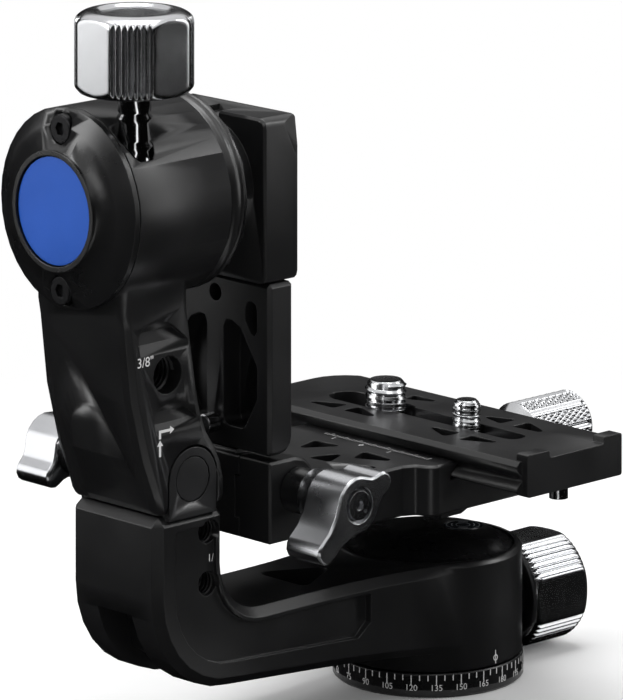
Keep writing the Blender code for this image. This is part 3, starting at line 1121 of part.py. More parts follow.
def dovetail(clearance, low, top):
    """The plate's grooved section, grown by a clearance."""
    return [(-PLATE_HALF_WIDTH - clearance, low), (PLATE_HALF_WIDTH + clearance, low),
            (PLATE_HALF_WIDTH + clearance, PLATE_WAIST_Z - PLATE_GROOVE),
            (plate_waist_half + clearance, PLATE_WAIST_Z),
            (plate_waist_half + clearance + top - PLATE_WAIST_Z, top),
            (-plate_waist_half - clearance - top + PLATE_WAIST_Z, top),
            (-plate_waist_half - clearance, PLATE_WAIST_Z),
            (-PLATE_HALF_WIDTH - clearance, PLATE_WAIST_Z - PLATE_GROOVE)]


FLANK_GAP = 0.42 * MM
JAW_PARTING = 0.4 * MM
JAW_THICKNESS = 8.8 * MM
JAW_LOW_Z = 49.6 * MM
GUIDE_RADIUS = 1.8 * MM
GUIDE_Y = 18.0 * MM
GUIDE_Z = 53.0 * MM
GUIDE_TIP_X = 6.0 * MM
LENS_COLLAR_LENGTH = 1.4 * MM
LENS_KNOB_LENGTH = 23.0 * MM
LENS_KNOB_RADIUS = 8.5 * MM
LENS_KNOB_NECK = 6.2 * MM
LENS_KNOB_CONE = 2.4 * MM
LENS_KNOB_PADS = 9
LENS_KNOB_HOLLOW = 0.7 * MM
pad_share = 0.65
LENS_COLLAR_RADIUS = 5.2 * MM

jaw_low_x = bed_high_x + JAW_PARTING
jaw_high_x = jaw_low_x + JAW_THICKNESS
cut(platform, prism("plate_space", dovetail(FLANK_GAP, BED_FLOOR, PLATFORM_TOP + OVERRUN), BLACK,
                    "Y", -BED_HALF_LENGTH - OVERRUN, BED_HALF_LENGTH + OVERRUN),
    box("jaw_space", BLACK, (0, bed_high_x + OVERRUN),
        (-BED_HALF_LENGTH - OVERRUN, BED_HALF_LENGTH + OVERRUN),
        (BED_FLOOR, PLATFORM_TOP + OVERRUN)))
step_outline = [(STEP_LOW_X, STEP_LOW_Z), (STEP_HIGH_X - STEP_RUN, STEP_LOW_Z),
                (STEP_HIGH_X, PLATFORM_LOW), (STEP_HIGH_X, PLATFORM_LOW + OVERRUN),
                (STEP_LOW_X, PLATFORM_LOW + OVERRUN)]
fuse(platform, prism("under_step", step_outline, BLACK, "Y", -STEP_HALF_LENGTH, STEP_HALF_LENGTH))
neck_run = bed_low_x - PLATFORM_LOW_X
for shares in top_pocket_shares:
    corners = [(PLATFORM_LOW_X + neck_run * along, NECK_HALF_WIDTH * across, TOP_POCKET_CORNER)
               for along, across in shares]
    cut(platform, prism("pocket", rounded(corners, 3), BLACK, "Z", PLATFORM_TOP - TOP_POCKET_DEPTH,
                        PLATFORM_TOP + OVERRUN))
cut(platform, rod("screw_bore", BLACK, "X", (0, LENS_AXIS_Z), LENS_SCREW_RADIUS + GAP,
                  LENS_SCREW_X - GAP, bed_high_x + OVERRUN, TINY_STEPS))
for side in (-1, 1):
    cut(platform, rod("guide_bore", BLACK, "X", (side * GUIDE_Y, GUIDE_Z), GUIDE_RADIUS + GAP,
                      GUIDE_TIP_X - OVERRUN, bed_high_x + OVERRUN, TINY_STEPS))

# Movable dovetail jaw, with two guides, and the lobed knob that draws it in
nose_x = plate_waist_half + FLANK_GAP
jaw_section = [(jaw_low_x, JAW_LOW_Z), (jaw_high_x - EDGE, JAW_LOW_Z), (jaw_high_x, JAW_LOW_Z + EDGE),
               (jaw_high_x, PLATFORM_TOP - PLATFORM_EDGE), (jaw_high_x - PLATFORM_EDGE, PLATFORM_TOP),
               (nose_x + PLATFORM_TOP - PLATE_WAIST_Z, PLATFORM_TOP), (nose_x, PLATE_WAIST_Z),
               (nose_x + PLATE_GROOVE, PLATE_WAIST_Z - PLATE_GROOVE),
               (jaw_low_x, PLATE_WAIST_Z - PLATE_GROOVE)]
lens_jaw = prism("lens_jaw", jaw_section, BLACK, "Y", -BED_HALF_LENGTH, BED_HALF_LENGTH)
for side in (-1, 1):
    fuse(lens_jaw, rod("guide", BLACK, "X", (side * GUIDE_Y, GUIDE_Z), GUIDE_RADIUS, GUIDE_TIP_X,
                       jaw_low_x + OVERRUN, TINY_STEPS))
cut(lens_jaw, rod("screw_bore", BLACK, "X", (0, LENS_AXIS_Z), LENS_SCREW_RADIUS + GAP,
                  jaw_low_x - OVERRUN, jaw_high_x + OVERRUN, TINY_STEPS))
lens_knob_x = jaw_high_x + LENS_COLLAR_LENGTH
pad_section = []
for pad in range(LENS_KNOB_PADS):
    middle, half_pad = FULL_TURN * pad / LENS_KNOB_PADS, FULL_TURN / LENS_KNOB_PADS * pad_share / 2
    pad_section += [(middle + half_pad * side, LENS_KNOB_RADIUS) for side in (-1, 0, 1)]
    pad_section.append((middle + math.pi / LENS_KNOB_PADS, LENS_KNOB_RADIUS - LENS_KNOB_HOLLOW))
lens_knob = lobed("lens_knob", pad_section, [
    (LENS_KNOB_NECK, 0), (LENS_KNOB_RADIUS, LENS_KNOB_CONE),
    (LENS_KNOB_RADIUS, LENS_KNOB_LENGTH - EDGE), (LENS_KNOB_RADIUS - EDGE, LENS_KNOB_LENGTH)],
    SILVER, "X", (0, LENS_AXIS_Z), lens_knob_x)
lens_screw = turned("lens_knob_stem", [
    (0, LENS_SCREW_X), (LENS_SCREW_RADIUS, LENS_SCREW_X), (LENS_SCREW_RADIUS, jaw_high_x + GAP),
    (LENS_COLLAR_RADIUS, jaw_high_x + GAP), (LENS_COLLAR_RADIUS, lens_knob_x - GAP),
    (0, lens_knob_x - GAP)], STEEL, "X", (0, LENS_AXIS_Z), SMALL_STEPS)

# Lens plate with its near flange, lightening windows, slot and two camera screws
PLATE_NEAR_Y = -52.0 * MM
PLATE_FAR_Y = 49.5 * MM
PLATE_FAR_CORNER = 12.0 * MM
FLANGE_THICKNESS = 3.8 * MM
FLANGE_INSET = 1.9 * MM
FLANGE_TOP = 67.4 * MM
FLANGE_LOW = 56.8 * MM
FLANGE_LEFT_EAR = 8.0 * MM
FLANGE_RIGHT_EAR = 6.5 * MM
SLOT_NEAR_Y = -33.4 * MM
SLOT_FAR_Y = 34.3 * MM
SLOT_HALF_WIDTH = 3.3 * MM
WIDE_SLOT_HALF = 5.05 * MM
WIDE_SLOT_Y = 6.5 * MM
CHANNEL_HALF_WIDTH = 7.0 * MM
CHANNEL_RUN = 1.0 * MM
CHANNEL_ROOF = 61.8 * MM
WASHER_THICKNESS = 1.4 * MM
WASHER_HALF = 6.0 * MM
SCREW_HEAD_HEIGHT = 1.8 * MM
LARGE_SCREW_RADIUS = 4.76 * MM
LARGE_SCREW_Y = 15.4 * MM
LARGE_SCREW_RISE = 6.7 * MM
SMALL_SCREW_RADIUS = 3.17 * MM
SMALL_SCREW_Y = -13.9 * MM
SMALL_SCREW_RISE = 6.5 * MM
CAMERA_HEAD_RADIUS = 5.8 * MM
PIN_RADIUS = 2.45 * MM
PIN_NEAR_Y = -48.2 * MM
PIN_FAR_Y = 46.3 * MM
PIN_LOW_Z = 53.0 * MM
PIN_SINK = 3.0 * MM
WINDOW_CORNER = 0.9 * MM
window_shares = (
    ((-0.63, 0.695), (-0.316, 0.455), (-0.63, 0.455)), ((-0.63, 0.384), (-0.316, 0.38), (-0.6, 0.12)),
    ((-0.4, -0.14), (-0.67, -0.37), (-0.36, -0.38)), ((-0.68, -0.463), (-0.36, -0.461), (-0.36, -0.7)),
    ((0.42, 0.337), (0.68, 0.364), (0.68, 0.13)), ((0.5, -0.192), (0.7, -0.384), (0.37, -0.384)),
    ((0.36, -0.465), (0.71, -0.465), (0.43, -0.7)))

half_section = [(PLATE_HALF_WIDTH - PLATE_LOW_EDGE, PLATE_LOW),
                (PLATE_HALF_WIDTH, PLATE_LOW + PLATE_LOW_EDGE),
                (PLATE_HALF_WIDTH, PLATE_WAIST_Z - PLATE_GROOVE), (plate_waist_half, PLATE_WAIST_Z),
                (PLATE_HALF_WIDTH, PLATE_WAIST_Z + PLATE_GROOVE),
                (PLATE_HALF_WIDTH, PLATE_WAIST_Z + PLATE_GROOVE + PLATE_LIP),
                (PLATE_HALF_WIDTH - PLATE_TOP_INSET, PLATE_TOP)]
section = half_section + [(-x, z) for x, z in reversed(half_section)]
lens_plate = prism("lens_plate", section, BLACK, "Y", PLATE_NEAR_Y, PLATE_FAR_Y)
corner = rounded([(-PLATE_HALF_WIDTH - OVERRUN, PLATE_NEAR_Y - OVERRUN),
                  (PLATE_HALF_WIDTH + OVERRUN, PLATE_NEAR_Y - OVERRUN),
                  (PLATE_HALF_WIDTH, PLATE_FAR_Y, PLATE_FAR_CORNER),
                  (-PLATE_HALF_WIDTH, PLATE_FAR_Y, PLATE_FAR_CORNER)], 2 * CORNER_STEPS)
common(lens_plate, prism("corners", corner, BLACK, "Z", FLANGE_LOW - OVERRUN, FLANGE_TOP + OVERRUN))
cut(lens_plate,
    box("flange_space", BLACK, (-PLATE_HALF_WIDTH - OVERRUN, PLATE_HALF_WIDTH + OVERRUN),
        (PLATE_NEAR_Y - OVERRUN, PLATE_NEAR_Y + FLANGE_THICKNESS * HALF),
        (FLANGE_LOW - OVERRUN, FLANGE_TOP)))
flange_half_width = PLATE_HALF_WIDTH - FLANGE_INSET
flange = [(-flange_half_width, FLANGE_LOW), (flange_half_width, FLANGE_LOW),
          (flange_half_width, FLANGE_TOP), (flange_half_width - FLANGE_RIGHT_EAR, FLANGE_TOP),
          (flange_half_width - FLANGE_RIGHT_EAR, PLATE_TOP), (FLANGE_LEFT_EAR - flange_half_width, PLATE_TOP),
          (FLANGE_LEFT_EAR - flange_half_width, FLANGE_TOP), (-flange_half_width, FLANGE_TOP)]
fuse(lens_plate, prism("flange", rounded([(*corner, EDGE) for corner in flange], 2), BLACK, "Y",
                       PLATE_NEAR_Y, PLATE_NEAR_Y + FLANGE_THICKNESS))
slot_tools = []
for half_width, radius, near, far, low, high in (
        (SLOT_HALF_WIDTH, SLOT_HALF_WIDTH - FINE_EDGE * HALF, SLOT_NEAR_Y,
         WIDE_SLOT_Y + WIDE_SLOT_HALF, PLATE_LOW - OVERRUN, PLATE_TOP + OVERRUN),
        (WIDE_SLOT_HALF, WIDE_SLOT_HALF - FINE_EDGE * HALF, WIDE_SLOT_Y, SLOT_FAR_Y,
         PLATE_LOW - EDGE, PLATE_TOP + EDGE),
        (CHANNEL_HALF_WIDTH, FINE_EDGE, SLOT_NEAR_Y - CHANNEL_RUN, SLOT_FAR_Y + CHANNEL_RUN,
         PLATE_LOW - OVERRUN, CHANNEL_ROOF)):
    slot_tools.append(box("slot", BLACK, (-half_width, half_width), (near, far), (low, high), radius))
cut(lens_plate, *slot_tools)
for shares in window_shares:
    corners = [(PLATE_HALF_WIDTH * across, PLATE_FAR_Y * along, WINDOW_CORNER) for across, along in shares]
    window = prism("window", rounded(corners, 2), BLACK, "Z", PLATE_LOW - OVERRUN, PLATE_TOP + OVERRUN)
    cut(lens_plate, window)
pins = []
for name, y in (("stop_pin_near", PIN_NEAR_Y + FLANGE_THICKNESS * HALF), ("stop_pin_far", PIN_FAR_Y)):
    cut(lens_plate, rod("pin_bore", BLACK, "Z", (0, y), PIN_RADIUS + GAP, PLATE_LOW - OVERRUN,
                        PLATE_LOW + PIN_SINK + GAP, TINY_STEPS))
    pins.append(rod(name, STEEL, "Z", (0, y), PIN_RADIUS, PIN_LOW_Z, PLATE_LOW + PIN_SINK, TINY_STEPS))


def camera_screw(size, y, radius, rise):
    """A screw standing in the slot, and the sliding washer that it turns in."""
    washer_top = CHANNEL_ROOF - GAP
    washer = box(f"screw_washer_{size}", STEEL, (GAP - CHANNEL_HALF_WIDTH, CHANNEL_HALF_WIDTH - GAP),
                 (y - WASHER_HALF, y + WASHER_HALF), (washer_top - WASHER_THICKNESS, washer_top), EDGE)
    cut(washer, rod("bore", BLACK, "Z", (0, y), radius + GAP, PLATE_LOW, PLATE_TOP))
    head_top = washer_top - WASHER_THICKNESS - GAP
    screw = turned(f"camera_screw_{size}", [
        (0, head_top - SCREW_HEAD_HEIGHT), (CAMERA_HEAD_RADIUS, head_top - SCREW_HEAD_HEIGHT),
        (CAMERA_HEAD_RADIUS, head_top), (radius, head_top), (radius, PLATE_TOP + rise - EDGE),
        (radius - EDGE, PLATE_TOP + rise), (0, PLATE_TOP + rise)], SILVER, "Z", (0, y), SMALL_STEPS)
    return washer, screw


large_washer, large_screw = camera_screw("large", LARGE_SCREW_Y, LARGE_SCREW_RADIUS,
                                         LARGE_SCREW_RISE)
small_washer, small_screw = camera_screw("small", SMALL_SCREW_Y, SMALL_SCREW_RADIUS,
                                         SMALL_SCREW_RISE)

# Each moving body hangs on an empty that stands on its joint
carry("pan_axis", (0, 0, 0), [lower_arm, pan_cap, level_vial, pan_bearing, pan_thrust, fold_bolt])
carry("pan_brake_axis", (0, 0, PAN_KNOB_HEIGHT), [pan_shoe, pan_knob, pan_stem])
carry("fold_axis", (FOLD_X, 0, FOLD_Z), [fold_block, upper_arm, tilt_bearing, tilt_seal, tilt_cap,
                                         cap_disc, *cap_screws])
carry("fold_lever_axis", (FOLD_X, 0, FOLD_Z), [fold_lever, fold_lever_cap, fold_collar])
carry("tilt_lock_axis", (*TILT_STEM, 0), [tilt_knob, tilt_stem, tilt_cotter])
carry("tilt_axis", (0, 0, TILT_HEIGHT), [swing_head, tilt_spindle, vertical_rail, rail_stop_screw,
                                         clamp_body])
carry("clamp_lever_axis", (CLAMP_LEVER_X, 0, CLAMP_LEVER_Z), [clamp_jaw, clamp_lever, lever_collar,
                                                              clamp_lever_cap, clamp_stud])
carry("platform_slide", (0, 0, 0), [platform])
carry("lens_knob_axis", (0, 0, LENS_AXIS_Z), [lens_jaw, lens_knob, lens_screw])
carry("plate_slide", (0, 0, 0), [lens_plate, *pins])
carry("large_screw_axis", (0, LARGE_SCREW_Y, 0), [large_washer, large_screw])
carry("small_screw_axis", (0, SMALL_SCREW_Y, 0), [small_washer, small_screw])

for piece in bpy.data.objects:
    if piece.type == "MESH":
        piece.data.shade_smooth()
        piece.data.set_sharp_from_angle(angle=math.radians(30))
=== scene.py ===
import json
import math

import bmesh
import bpy
from mathutils import Matrix, Vector

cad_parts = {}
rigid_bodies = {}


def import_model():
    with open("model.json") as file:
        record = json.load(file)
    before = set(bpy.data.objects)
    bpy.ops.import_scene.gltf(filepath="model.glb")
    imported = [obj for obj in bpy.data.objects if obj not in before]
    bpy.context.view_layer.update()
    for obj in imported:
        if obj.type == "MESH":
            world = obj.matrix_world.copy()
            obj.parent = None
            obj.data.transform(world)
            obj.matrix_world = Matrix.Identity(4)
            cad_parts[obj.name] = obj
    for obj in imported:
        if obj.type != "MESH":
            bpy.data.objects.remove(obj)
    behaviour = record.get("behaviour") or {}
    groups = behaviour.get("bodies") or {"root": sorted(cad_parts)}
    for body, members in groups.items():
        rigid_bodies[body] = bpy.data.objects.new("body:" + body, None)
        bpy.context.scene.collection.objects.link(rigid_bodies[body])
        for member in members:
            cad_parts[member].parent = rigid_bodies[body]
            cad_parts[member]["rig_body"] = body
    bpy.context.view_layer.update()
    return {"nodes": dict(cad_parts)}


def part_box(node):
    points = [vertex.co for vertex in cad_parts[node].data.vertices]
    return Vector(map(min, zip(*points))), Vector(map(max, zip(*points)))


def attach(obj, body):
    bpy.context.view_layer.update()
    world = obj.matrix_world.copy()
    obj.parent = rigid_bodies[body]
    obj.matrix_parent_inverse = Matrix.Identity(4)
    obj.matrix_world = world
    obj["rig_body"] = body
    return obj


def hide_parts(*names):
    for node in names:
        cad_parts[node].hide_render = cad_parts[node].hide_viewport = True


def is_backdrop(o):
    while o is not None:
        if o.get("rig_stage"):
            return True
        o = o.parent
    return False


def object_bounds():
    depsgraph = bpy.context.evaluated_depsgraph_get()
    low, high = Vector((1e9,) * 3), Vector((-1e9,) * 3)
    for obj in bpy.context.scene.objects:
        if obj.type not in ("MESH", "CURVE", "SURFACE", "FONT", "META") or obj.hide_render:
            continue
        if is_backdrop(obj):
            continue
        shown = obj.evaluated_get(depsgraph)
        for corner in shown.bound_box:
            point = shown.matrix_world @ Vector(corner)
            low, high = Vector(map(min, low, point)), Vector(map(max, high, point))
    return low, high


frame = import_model()
nodes = frame["nodes"]

# The camera: level, seen from the upright arm's side of the head, at the height of a person
# who looks across a table. The lens shift brings the head into the middle of the frame.
CAMERA_AZIMUTH = 43.955
CAMERA_DISTANCE = 1.5652
CAMERA_HEIGHT = 0.443
PIXELS_PER_METRE = 3900
FOCAL_PIXELS = PIXELS_PER_METRE * CAMERA_DISTANCE
PHOTO_WIDTH = 623
PHOTO_HEIGHT = 700
AXIS_COLUMN = 427.94
AXIS_ROW = 671.08
SENSOR_WIDTH = 36.0
CLIP_END = 20.0

heading = math.radians(CAMERA_AZIMUTH)
ahead = Vector((math.sin(heading), math.cos(heading), 0))
aside = Vector((math.cos(heading), -math.sin(heading), 0))
column_offset = (AXIS_COLUMN - PHOTO_WIDTH / 2) * CAMERA_DISTANCE / FOCAL_PIXELS
horizon_row = AXIS_ROW - CAMERA_HEIGHT * FOCAL_PIXELS / CAMERA_DISTANCE
camera_data = bpy.data.cameras.new("camera")
camera = bpy.data.objects.new("camera", camera_data)
bpy.context.scene.collection.objects.link(camera)
camera.location = -ahead * CAMERA_DISTANCE - aside * column_offset + Vector((0, 0, CAMERA_HEIGHT))
camera.rotation_euler = (math.pi / 2, 0, -heading)
camera_data.sensor_fit = "HORIZONTAL"
camera_data.sensor_width = SENSOR_WIDTH
camera_data.lens = SENSOR_WIDTH * FOCAL_PIXELS / PHOTO_WIDTH
camera_data.shift_y = -(PHOTO_HEIGHT / 2 - horizon_row) / PHOTO_WIDTH
camera_data.clip_end = CLIP_END
bpy.context.scene.camera = camera


# The studio: a pale floor, a white surround, dark flags round the head that keep its black
# castings black, and soft boxes and strips that draw the long highlights on them.
def colour(code):
    """A colour written as on a screen, turned into light."""
    parts = [int(code[place:place + 2], 16) / 255 for place in (1, 3, 5)]
    return tuple(part / 12.92 if part <= 0.04045 else ((part + 0.055) / 1.055) ** 2.4
                 for part in parts) + (1.0,)


def node(tree, kind, settings=(), **links):
    """One node, with its settings and its inputs by name: a number, a colour or a socket."""
    made = tree.nodes.new(kind)
    for name, value in dict(settings).items():
        setattr(made, name, value)
    for name, value in links.items():
        index = int(name[1:]) if name[0] == "i" and name[1:].isdigit() else None
        socket = made.inputs[index if index is not None else name.replace("_", " ")]
        if isinstance(value, bpy.types.NodeSocket):
            tree.links.new(value, socket)
        else:
            socket.default_value = value
    return made


def sheet(name, corners, faces, surface=None):
    """A mesh of its own in the scene, with its place in its corners."""
    mesh = bpy.data.meshes.new(name)
    mesh.from_pydata([tuple(corner) for corner in corners], [], faces)
    made = bpy.data.objects.new(name, mesh)
    bpy.context.scene.collection.objects.link(made)
    if surface:
        mesh.materials.append(surface)
    return made


def around(forward, across, height):
    """A place by its distance toward the camera, to the right of it and above the floor."""
    return aside * across - ahead * forward + Vector((0, 0, height))


SURROUND = "#ffffff"
FLOOR_TONE = "#f2f2f2"
FILL_STRENGTH = 0.6
FLOOR_REACH = 6.0
FADE_START = 0.13
FADE_END = 0.36
FADE_CENTRE_X = -0.03

world = bpy.data.worlds.new("studio")
bpy.context.scene.world = world
world.use_nodes = True
tree = world.node_tree
tree.nodes.clear()
seen = node(tree, "ShaderNodeLightPath")
bright = node(tree, "ShaderNodeMath", {"operation": "ADD"}, i0=seen.outputs["Is Camera Ray"],
              i1=seen.outputs["Is Glossy Ray"])
bright = node(tree, "ShaderNodeMath", {"operation": "ADD", "use_clamp": True}, i0=bright.outputs[0],
              i1=seen.outputs["Is Transmission Ray"])
fill = node(tree, "ShaderNodeBackground", Color=colour(SURROUND), Strength=FILL_STRENGTH)
white = node(tree, "ShaderNodeBackground", Color=colour(SURROUND), Strength=1.0)
blend = node(tree, "ShaderNodeMixShader", Fac=bright.outputs[0], i1=fill.outputs[0],
             i2=white.outputs[0])
node(tree, "ShaderNodeOutputWorld", Surface=blend.outputs[0])
bpy.context.scene.view_settings.view_transform = "Standard"

# The floor is pale by the head, holds its shadow, and turns white away from it.
floor_finish = bpy.data.materials.new("pale_floor")
floor_finish.use_nodes = True
tree = floor_finish.node_tree
shader = tree.nodes["Principled BSDF"]
shader.inputs["Base Color"].default_value = colour(FLOOR_TONE)
shader.inputs["Roughness"].default_value = 0.85
shader.inputs["Specular IOR Level"].default_value = 0.1
seen = node(tree, "ShaderNodeLightPath")
glow = node(tree, "ShaderNodeEmission", Color=colour(SURROUND), Strength=1.0)
spot = node(tree, "ShaderNodeTexCoord")
offset = node(tree, "ShaderNodeVectorMath", {"operation": "ADD"}, i0=spot.outputs["Object"],
              i1=(-FADE_CENTRE_X, 0, 0))
reach = node(tree, "ShaderNodeVectorMath", {"operation": "LENGTH"}, i0=offset.outputs[0])
fade = node(tree, "ShaderNodeMapRange", {"interpolation_type": "SMOOTHSTEP"},
            i0=reach.outputs["Value"], i1=FADE_START, i2=FADE_END)
shown = node(tree, "ShaderNodeMath", {"operation": "MULTIPLY"}, i0=fade.outputs[0],
             i1=seen.outputs["Is Camera Ray"])
blend = node(tree, "ShaderNodeMixShader", Fac=shown.outputs[0], i1=shader.outputs[0],
             i2=glow.outputs[0])
tree.links.new(blend.outputs[0], tree.nodes["Material Output"].inputs["Surface"])
floor = sheet("floor", [(-FLOOR_REACH, -FLOOR_REACH, 0), (FLOOR_REACH, -FLOOR_REACH, 0),
                        (FLOOR_REACH, FLOOR_REACH, 0), (-FLOOR_REACH, FLOOR_REACH, 0)],
              [(0, 1, 2, 3)], floor_finish)
floor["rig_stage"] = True


def card_finish(name, tone, strength=0.0):
    """A card's face: plain cloth, or a lit panel."""
    made = bpy.data.materials.new(name)
    made.use_nodes = True
    tree = made.node_tree
    shader = tree.nodes["Principled BSDF"]
    shader.inputs["Base Color"].default_value = colour(tone)
    shader.inputs["Roughness"].default_value = 1.0
    shader.inputs["Specular IOR Level"].default_value = 0.0
    if strength:
        shader.inputs["Emission Color"].default_value = colour(tone)
        shader.inputs["Emission Strength"].default_value = strength
    return made


def reflected(name, corners, faces, surface):
    """A card that only shows as a reflection."""
    made = sheet(name, corners, faces, surface)
    made.visible_camera = False
    made.visible_shadow = False
    made.visible_diffuse = False
    made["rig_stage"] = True


TENT_RADIUS = 1.3
TENT_FOOT = 0.002
TENT_HEIGHT = 0.75
TENT_SIDES = 24
# Black cloth gives the black metal something dark to mirror, and the lit panels its highlights.
flag_cloth = card_finish("flag_cloth", "#050505")
ring = [(TENT_RADIUS * math.cos(math.tau * side / TENT_SIDES),
         TENT_RADIUS * math.sin(math.tau * side / TENT_SIDES)) for side in range(TENT_SIDES)]
reflected("tent", [(x, y, TENT_FOOT) for x, y in ring] + [(x, y, TENT_HEIGHT) for x, y in ring],
          [(side, (side + 1) % TENT_SIDES, TENT_SIDES + (side + 1) % TENT_SIDES, TENT_SIDES + side)
           for side in range(TENT_SIDES)] + [tuple(range(TENT_SIDES))], flag_cloth)
panel = card_finish("lit_panel", "#ffffff", 1.6)
soft_panel = card_finish("soft_panel", "#ffffff", 0.7)
for name, surface, corners in (
        ("front_strip", soft_panel, (around(0.07, -0.004, 0.003), around(0.07, 0.006, 0.003),
                                     around(0.95, 0.10, 0.003), around(0.95, -0.06, 0.003))),
        ("left_panel", soft_panel, (around(0.15, -0.9, 0.004), around(-0.25, -0.9, 0.004),
                                    around(-0.25, -0.9, 0.5), around(0.15, -0.9, 0.5))),
        ("right_panel", soft_panel, (around(0.05, 0.9, 0.004), around(-0.3, 0.9, 0.004),
                                     around(-0.3, 0.9, 0.55), around(0.05, 0.9, 0.55))),
        ("key_panel", panel, (around(0.95, -0.55, 0.35), around(0.95, -0.25, 0.35),
                              around(0.75, -0.25, 0.9), around(0.75, -0.55, 0.9))),
        ("high_panel", panel, (around(0.5, 0.1, 0.9), around(0.5, 0.5, 0.9),
                               around(0.1, 0.5, 1.0), around(0.1, 0.1, 1.0)))):
    reflected(name, corners, [(0, 1, 2, 3)], surface)


BOX_AIM = Vector((-0.03, 0, 0.09))


def soft_box(name, centre, size, power):
    """A soft light that looks at the head."""
    data = bpy.data.lights.new(name, "AREA")
    data.shape = "RECTANGLE"
    data.size, data.size_y = size
    data.energy = power
    made = bpy.data.objects.new(name, data)
    bpy.context.scene.collection.objects.link(made)
    made.location = centre
    made.rotation_euler = (BOX_AIM - centre).to_track_quat("-Z", "Y").to_euler()


soft_box("top_box", around(-0.1, -0.05, 1.1), (0.6, 0.5), 7.0)
soft_box("left_box", around(0.25, -1.0, 0.55), (0.2, 0.8), 5.0)
soft_box("right_box", around(-0.2, 1.0, 0.5), (0.2, 0.8), 5.0)


# The base ring: a turned ring of black anodised aluminium with a printed dial, pressed on the
# spindle's foot. Fine turning lines and the pale figures give it its scale.
CLOUD_SCALE = 70.0
CLOUD_SHARE = 0.25
GLOSS_SPREAD = 0.04
LINE_FINE = 6
LINE_DRAWN = 0.15
GRAIN_HEIGHT = 0.00002
WELD = 0.00001
FLAT_TURN = math.radians(1)


def finish(name, tone, metallic, roughness, grain=0.0, grain_mm=0.2, edge_mm=0.25, turned=None):
    """A finish with a fine grain, cloudy gloss and softly rounded edges. Turned metal has fine
    lines round one axis. The grain is drawn coarser than the real one, so that it shows."""
    made = bpy.data.materials.new(name)
    made.use_nodes = True
    tree = made.node_tree
    shader = tree.nodes["Principled BSDF"]
    shader.inputs["Metallic"].default_value = metallic
    place = node(tree, "ShaderNodeTexCoord")
    cloud = node(tree, "ShaderNodeTexNoise", Vector=place.outputs["Object"], Scale=CLOUD_SCALE,
                 Detail=4.0)
    tint = node(tree, "ShaderNodeMix", {"data_type": "RGBA", "blend_type": "MULTIPLY"},
                i0=CLOUD_SHARE, i6=colour(tone), i7=cloud.outputs[0])
    tree.links.new(tint.outputs[2], shader.inputs["Base Color"])
    gloss = node(tree, "ShaderNodeMapRange", i0=cloud.outputs[0], i1=0.3, i2=0.7,
                 i3=roughness - GLOSS_SPREAD, i4=roughness + GLOSS_SPREAD)
    tree.links.new(gloss.outputs[0], shader.inputs["Roughness"])
    rounding = node(tree, "ShaderNodeBevel", {"samples": 6}, Radius=edge_mm / 1000)
    stretch = {None: (1, 1, 1), "X": (LINE_FINE, LINE_DRAWN, LINE_DRAWN),
               "Z": (LINE_DRAWN, LINE_DRAWN, LINE_FINE)}[turned]
    drawn = node(tree, "ShaderNodeMapping", i0=place.outputs["Object"], i3=stretch)
    speck = node(tree, "ShaderNodeTexNoise", Vector=drawn.outputs[0], Scale=1000 / grain_mm, Detail=2.0)
    bump = node(tree, "ShaderNodeBump", Strength=grain, Distance=GRAIN_HEIGHT,
                Height=speck.outputs[0], Normal=rounding.outputs[0])
    tree.links.new(bump.outputs[0], shader.inputs["Normal"])
    return made


def kept(name, mesh, body, stands_for=()):
    """A mesh as a piece of the head: it moves with a body and hides the CAD pieces it stands for."""
    made = bpy.data.objects.new(name, mesh)
    bpy.context.scene.collection.objects.link(made)
    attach(made, body)
    if stands_for:
        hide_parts(*stands_for)
    return made


def evaluated(source):
    """The mesh that an object has with its modifiers, as a mesh of its own."""
    source.update_tag()
    graph = bpy.context.evaluated_depsgraph_get()
    return bpy.data.meshes.new_from_object(source.evaluated_get(graph), depsgraph=graph)


def dressed(name, surface, cutters=(), smooth=32):
    """A welded, smoothly shaded copy of a CAD piece that takes its place, less the cutters."""
    source = nodes[name]
    mesh = source.data.copy()
    form = bmesh.new()
    form.from_mesh(mesh)
    form.transform(source.matrix_world)
    bmesh.ops.remove_doubles(form, verts=form.verts, dist=WELD)
    bmesh.ops.dissolve_limit(form, angle_limit=FLAT_TURN, verts=form.verts, edges=form.edges)
    form.to_mesh(mesh)
    form.free()
    mesh.materials.clear()
    mesh.materials.append(surface)
    if cutters:
        carrier = bpy.data.objects.new("carrier", mesh)
        bpy.context.scene.collection.objects.link(carrier)
        for cutter in cutters:
            step = carrier.modifiers.new("cut", "BOOLEAN")
            step.object = cutter
            step.solver = "EXACT"
        mesh = evaluated(carrier)
        for used in (carrier, *cutters):
            bpy.data.objects.remove(used)
    mesh.shade_smooth()
    mesh.set_sharp_from_angle(angle=math.radians(smooth))
    return kept(f"{name}_form", mesh, source["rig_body"], (name,))


def grown(name, tree, place, surface, body, values=(), stands_for=()):
    """The mesh that a geometry tree grows, set in its place and kept as a piece."""
    seed = bpy.data.objects.new(name, bpy.data.meshes.new(name))
    bpy.context.scene.collection.objects.link(seed)
    step = seed.modifiers.new("grown", "NODES")
    step.node_group = tree
    named = {item.name: item.identifier for item in tree.interface.items_tree
             if item.in_out == "INPUT"}
    step[named["Surface"]] = surface
    for key, value in dict(values).items():
        step[named[key]] = value
    mesh = evaluated(seed)
    bpy.data.objects.remove(seed)
    mesh.transform(place)
    form = bmesh.new()
    form.from_mesh(mesh)
    bmesh.ops.recalc_face_normals(form, faces=form.faces)
    form.to_mesh(mesh)
    form.free()
    return kept(name, mesh, body, stands_for)


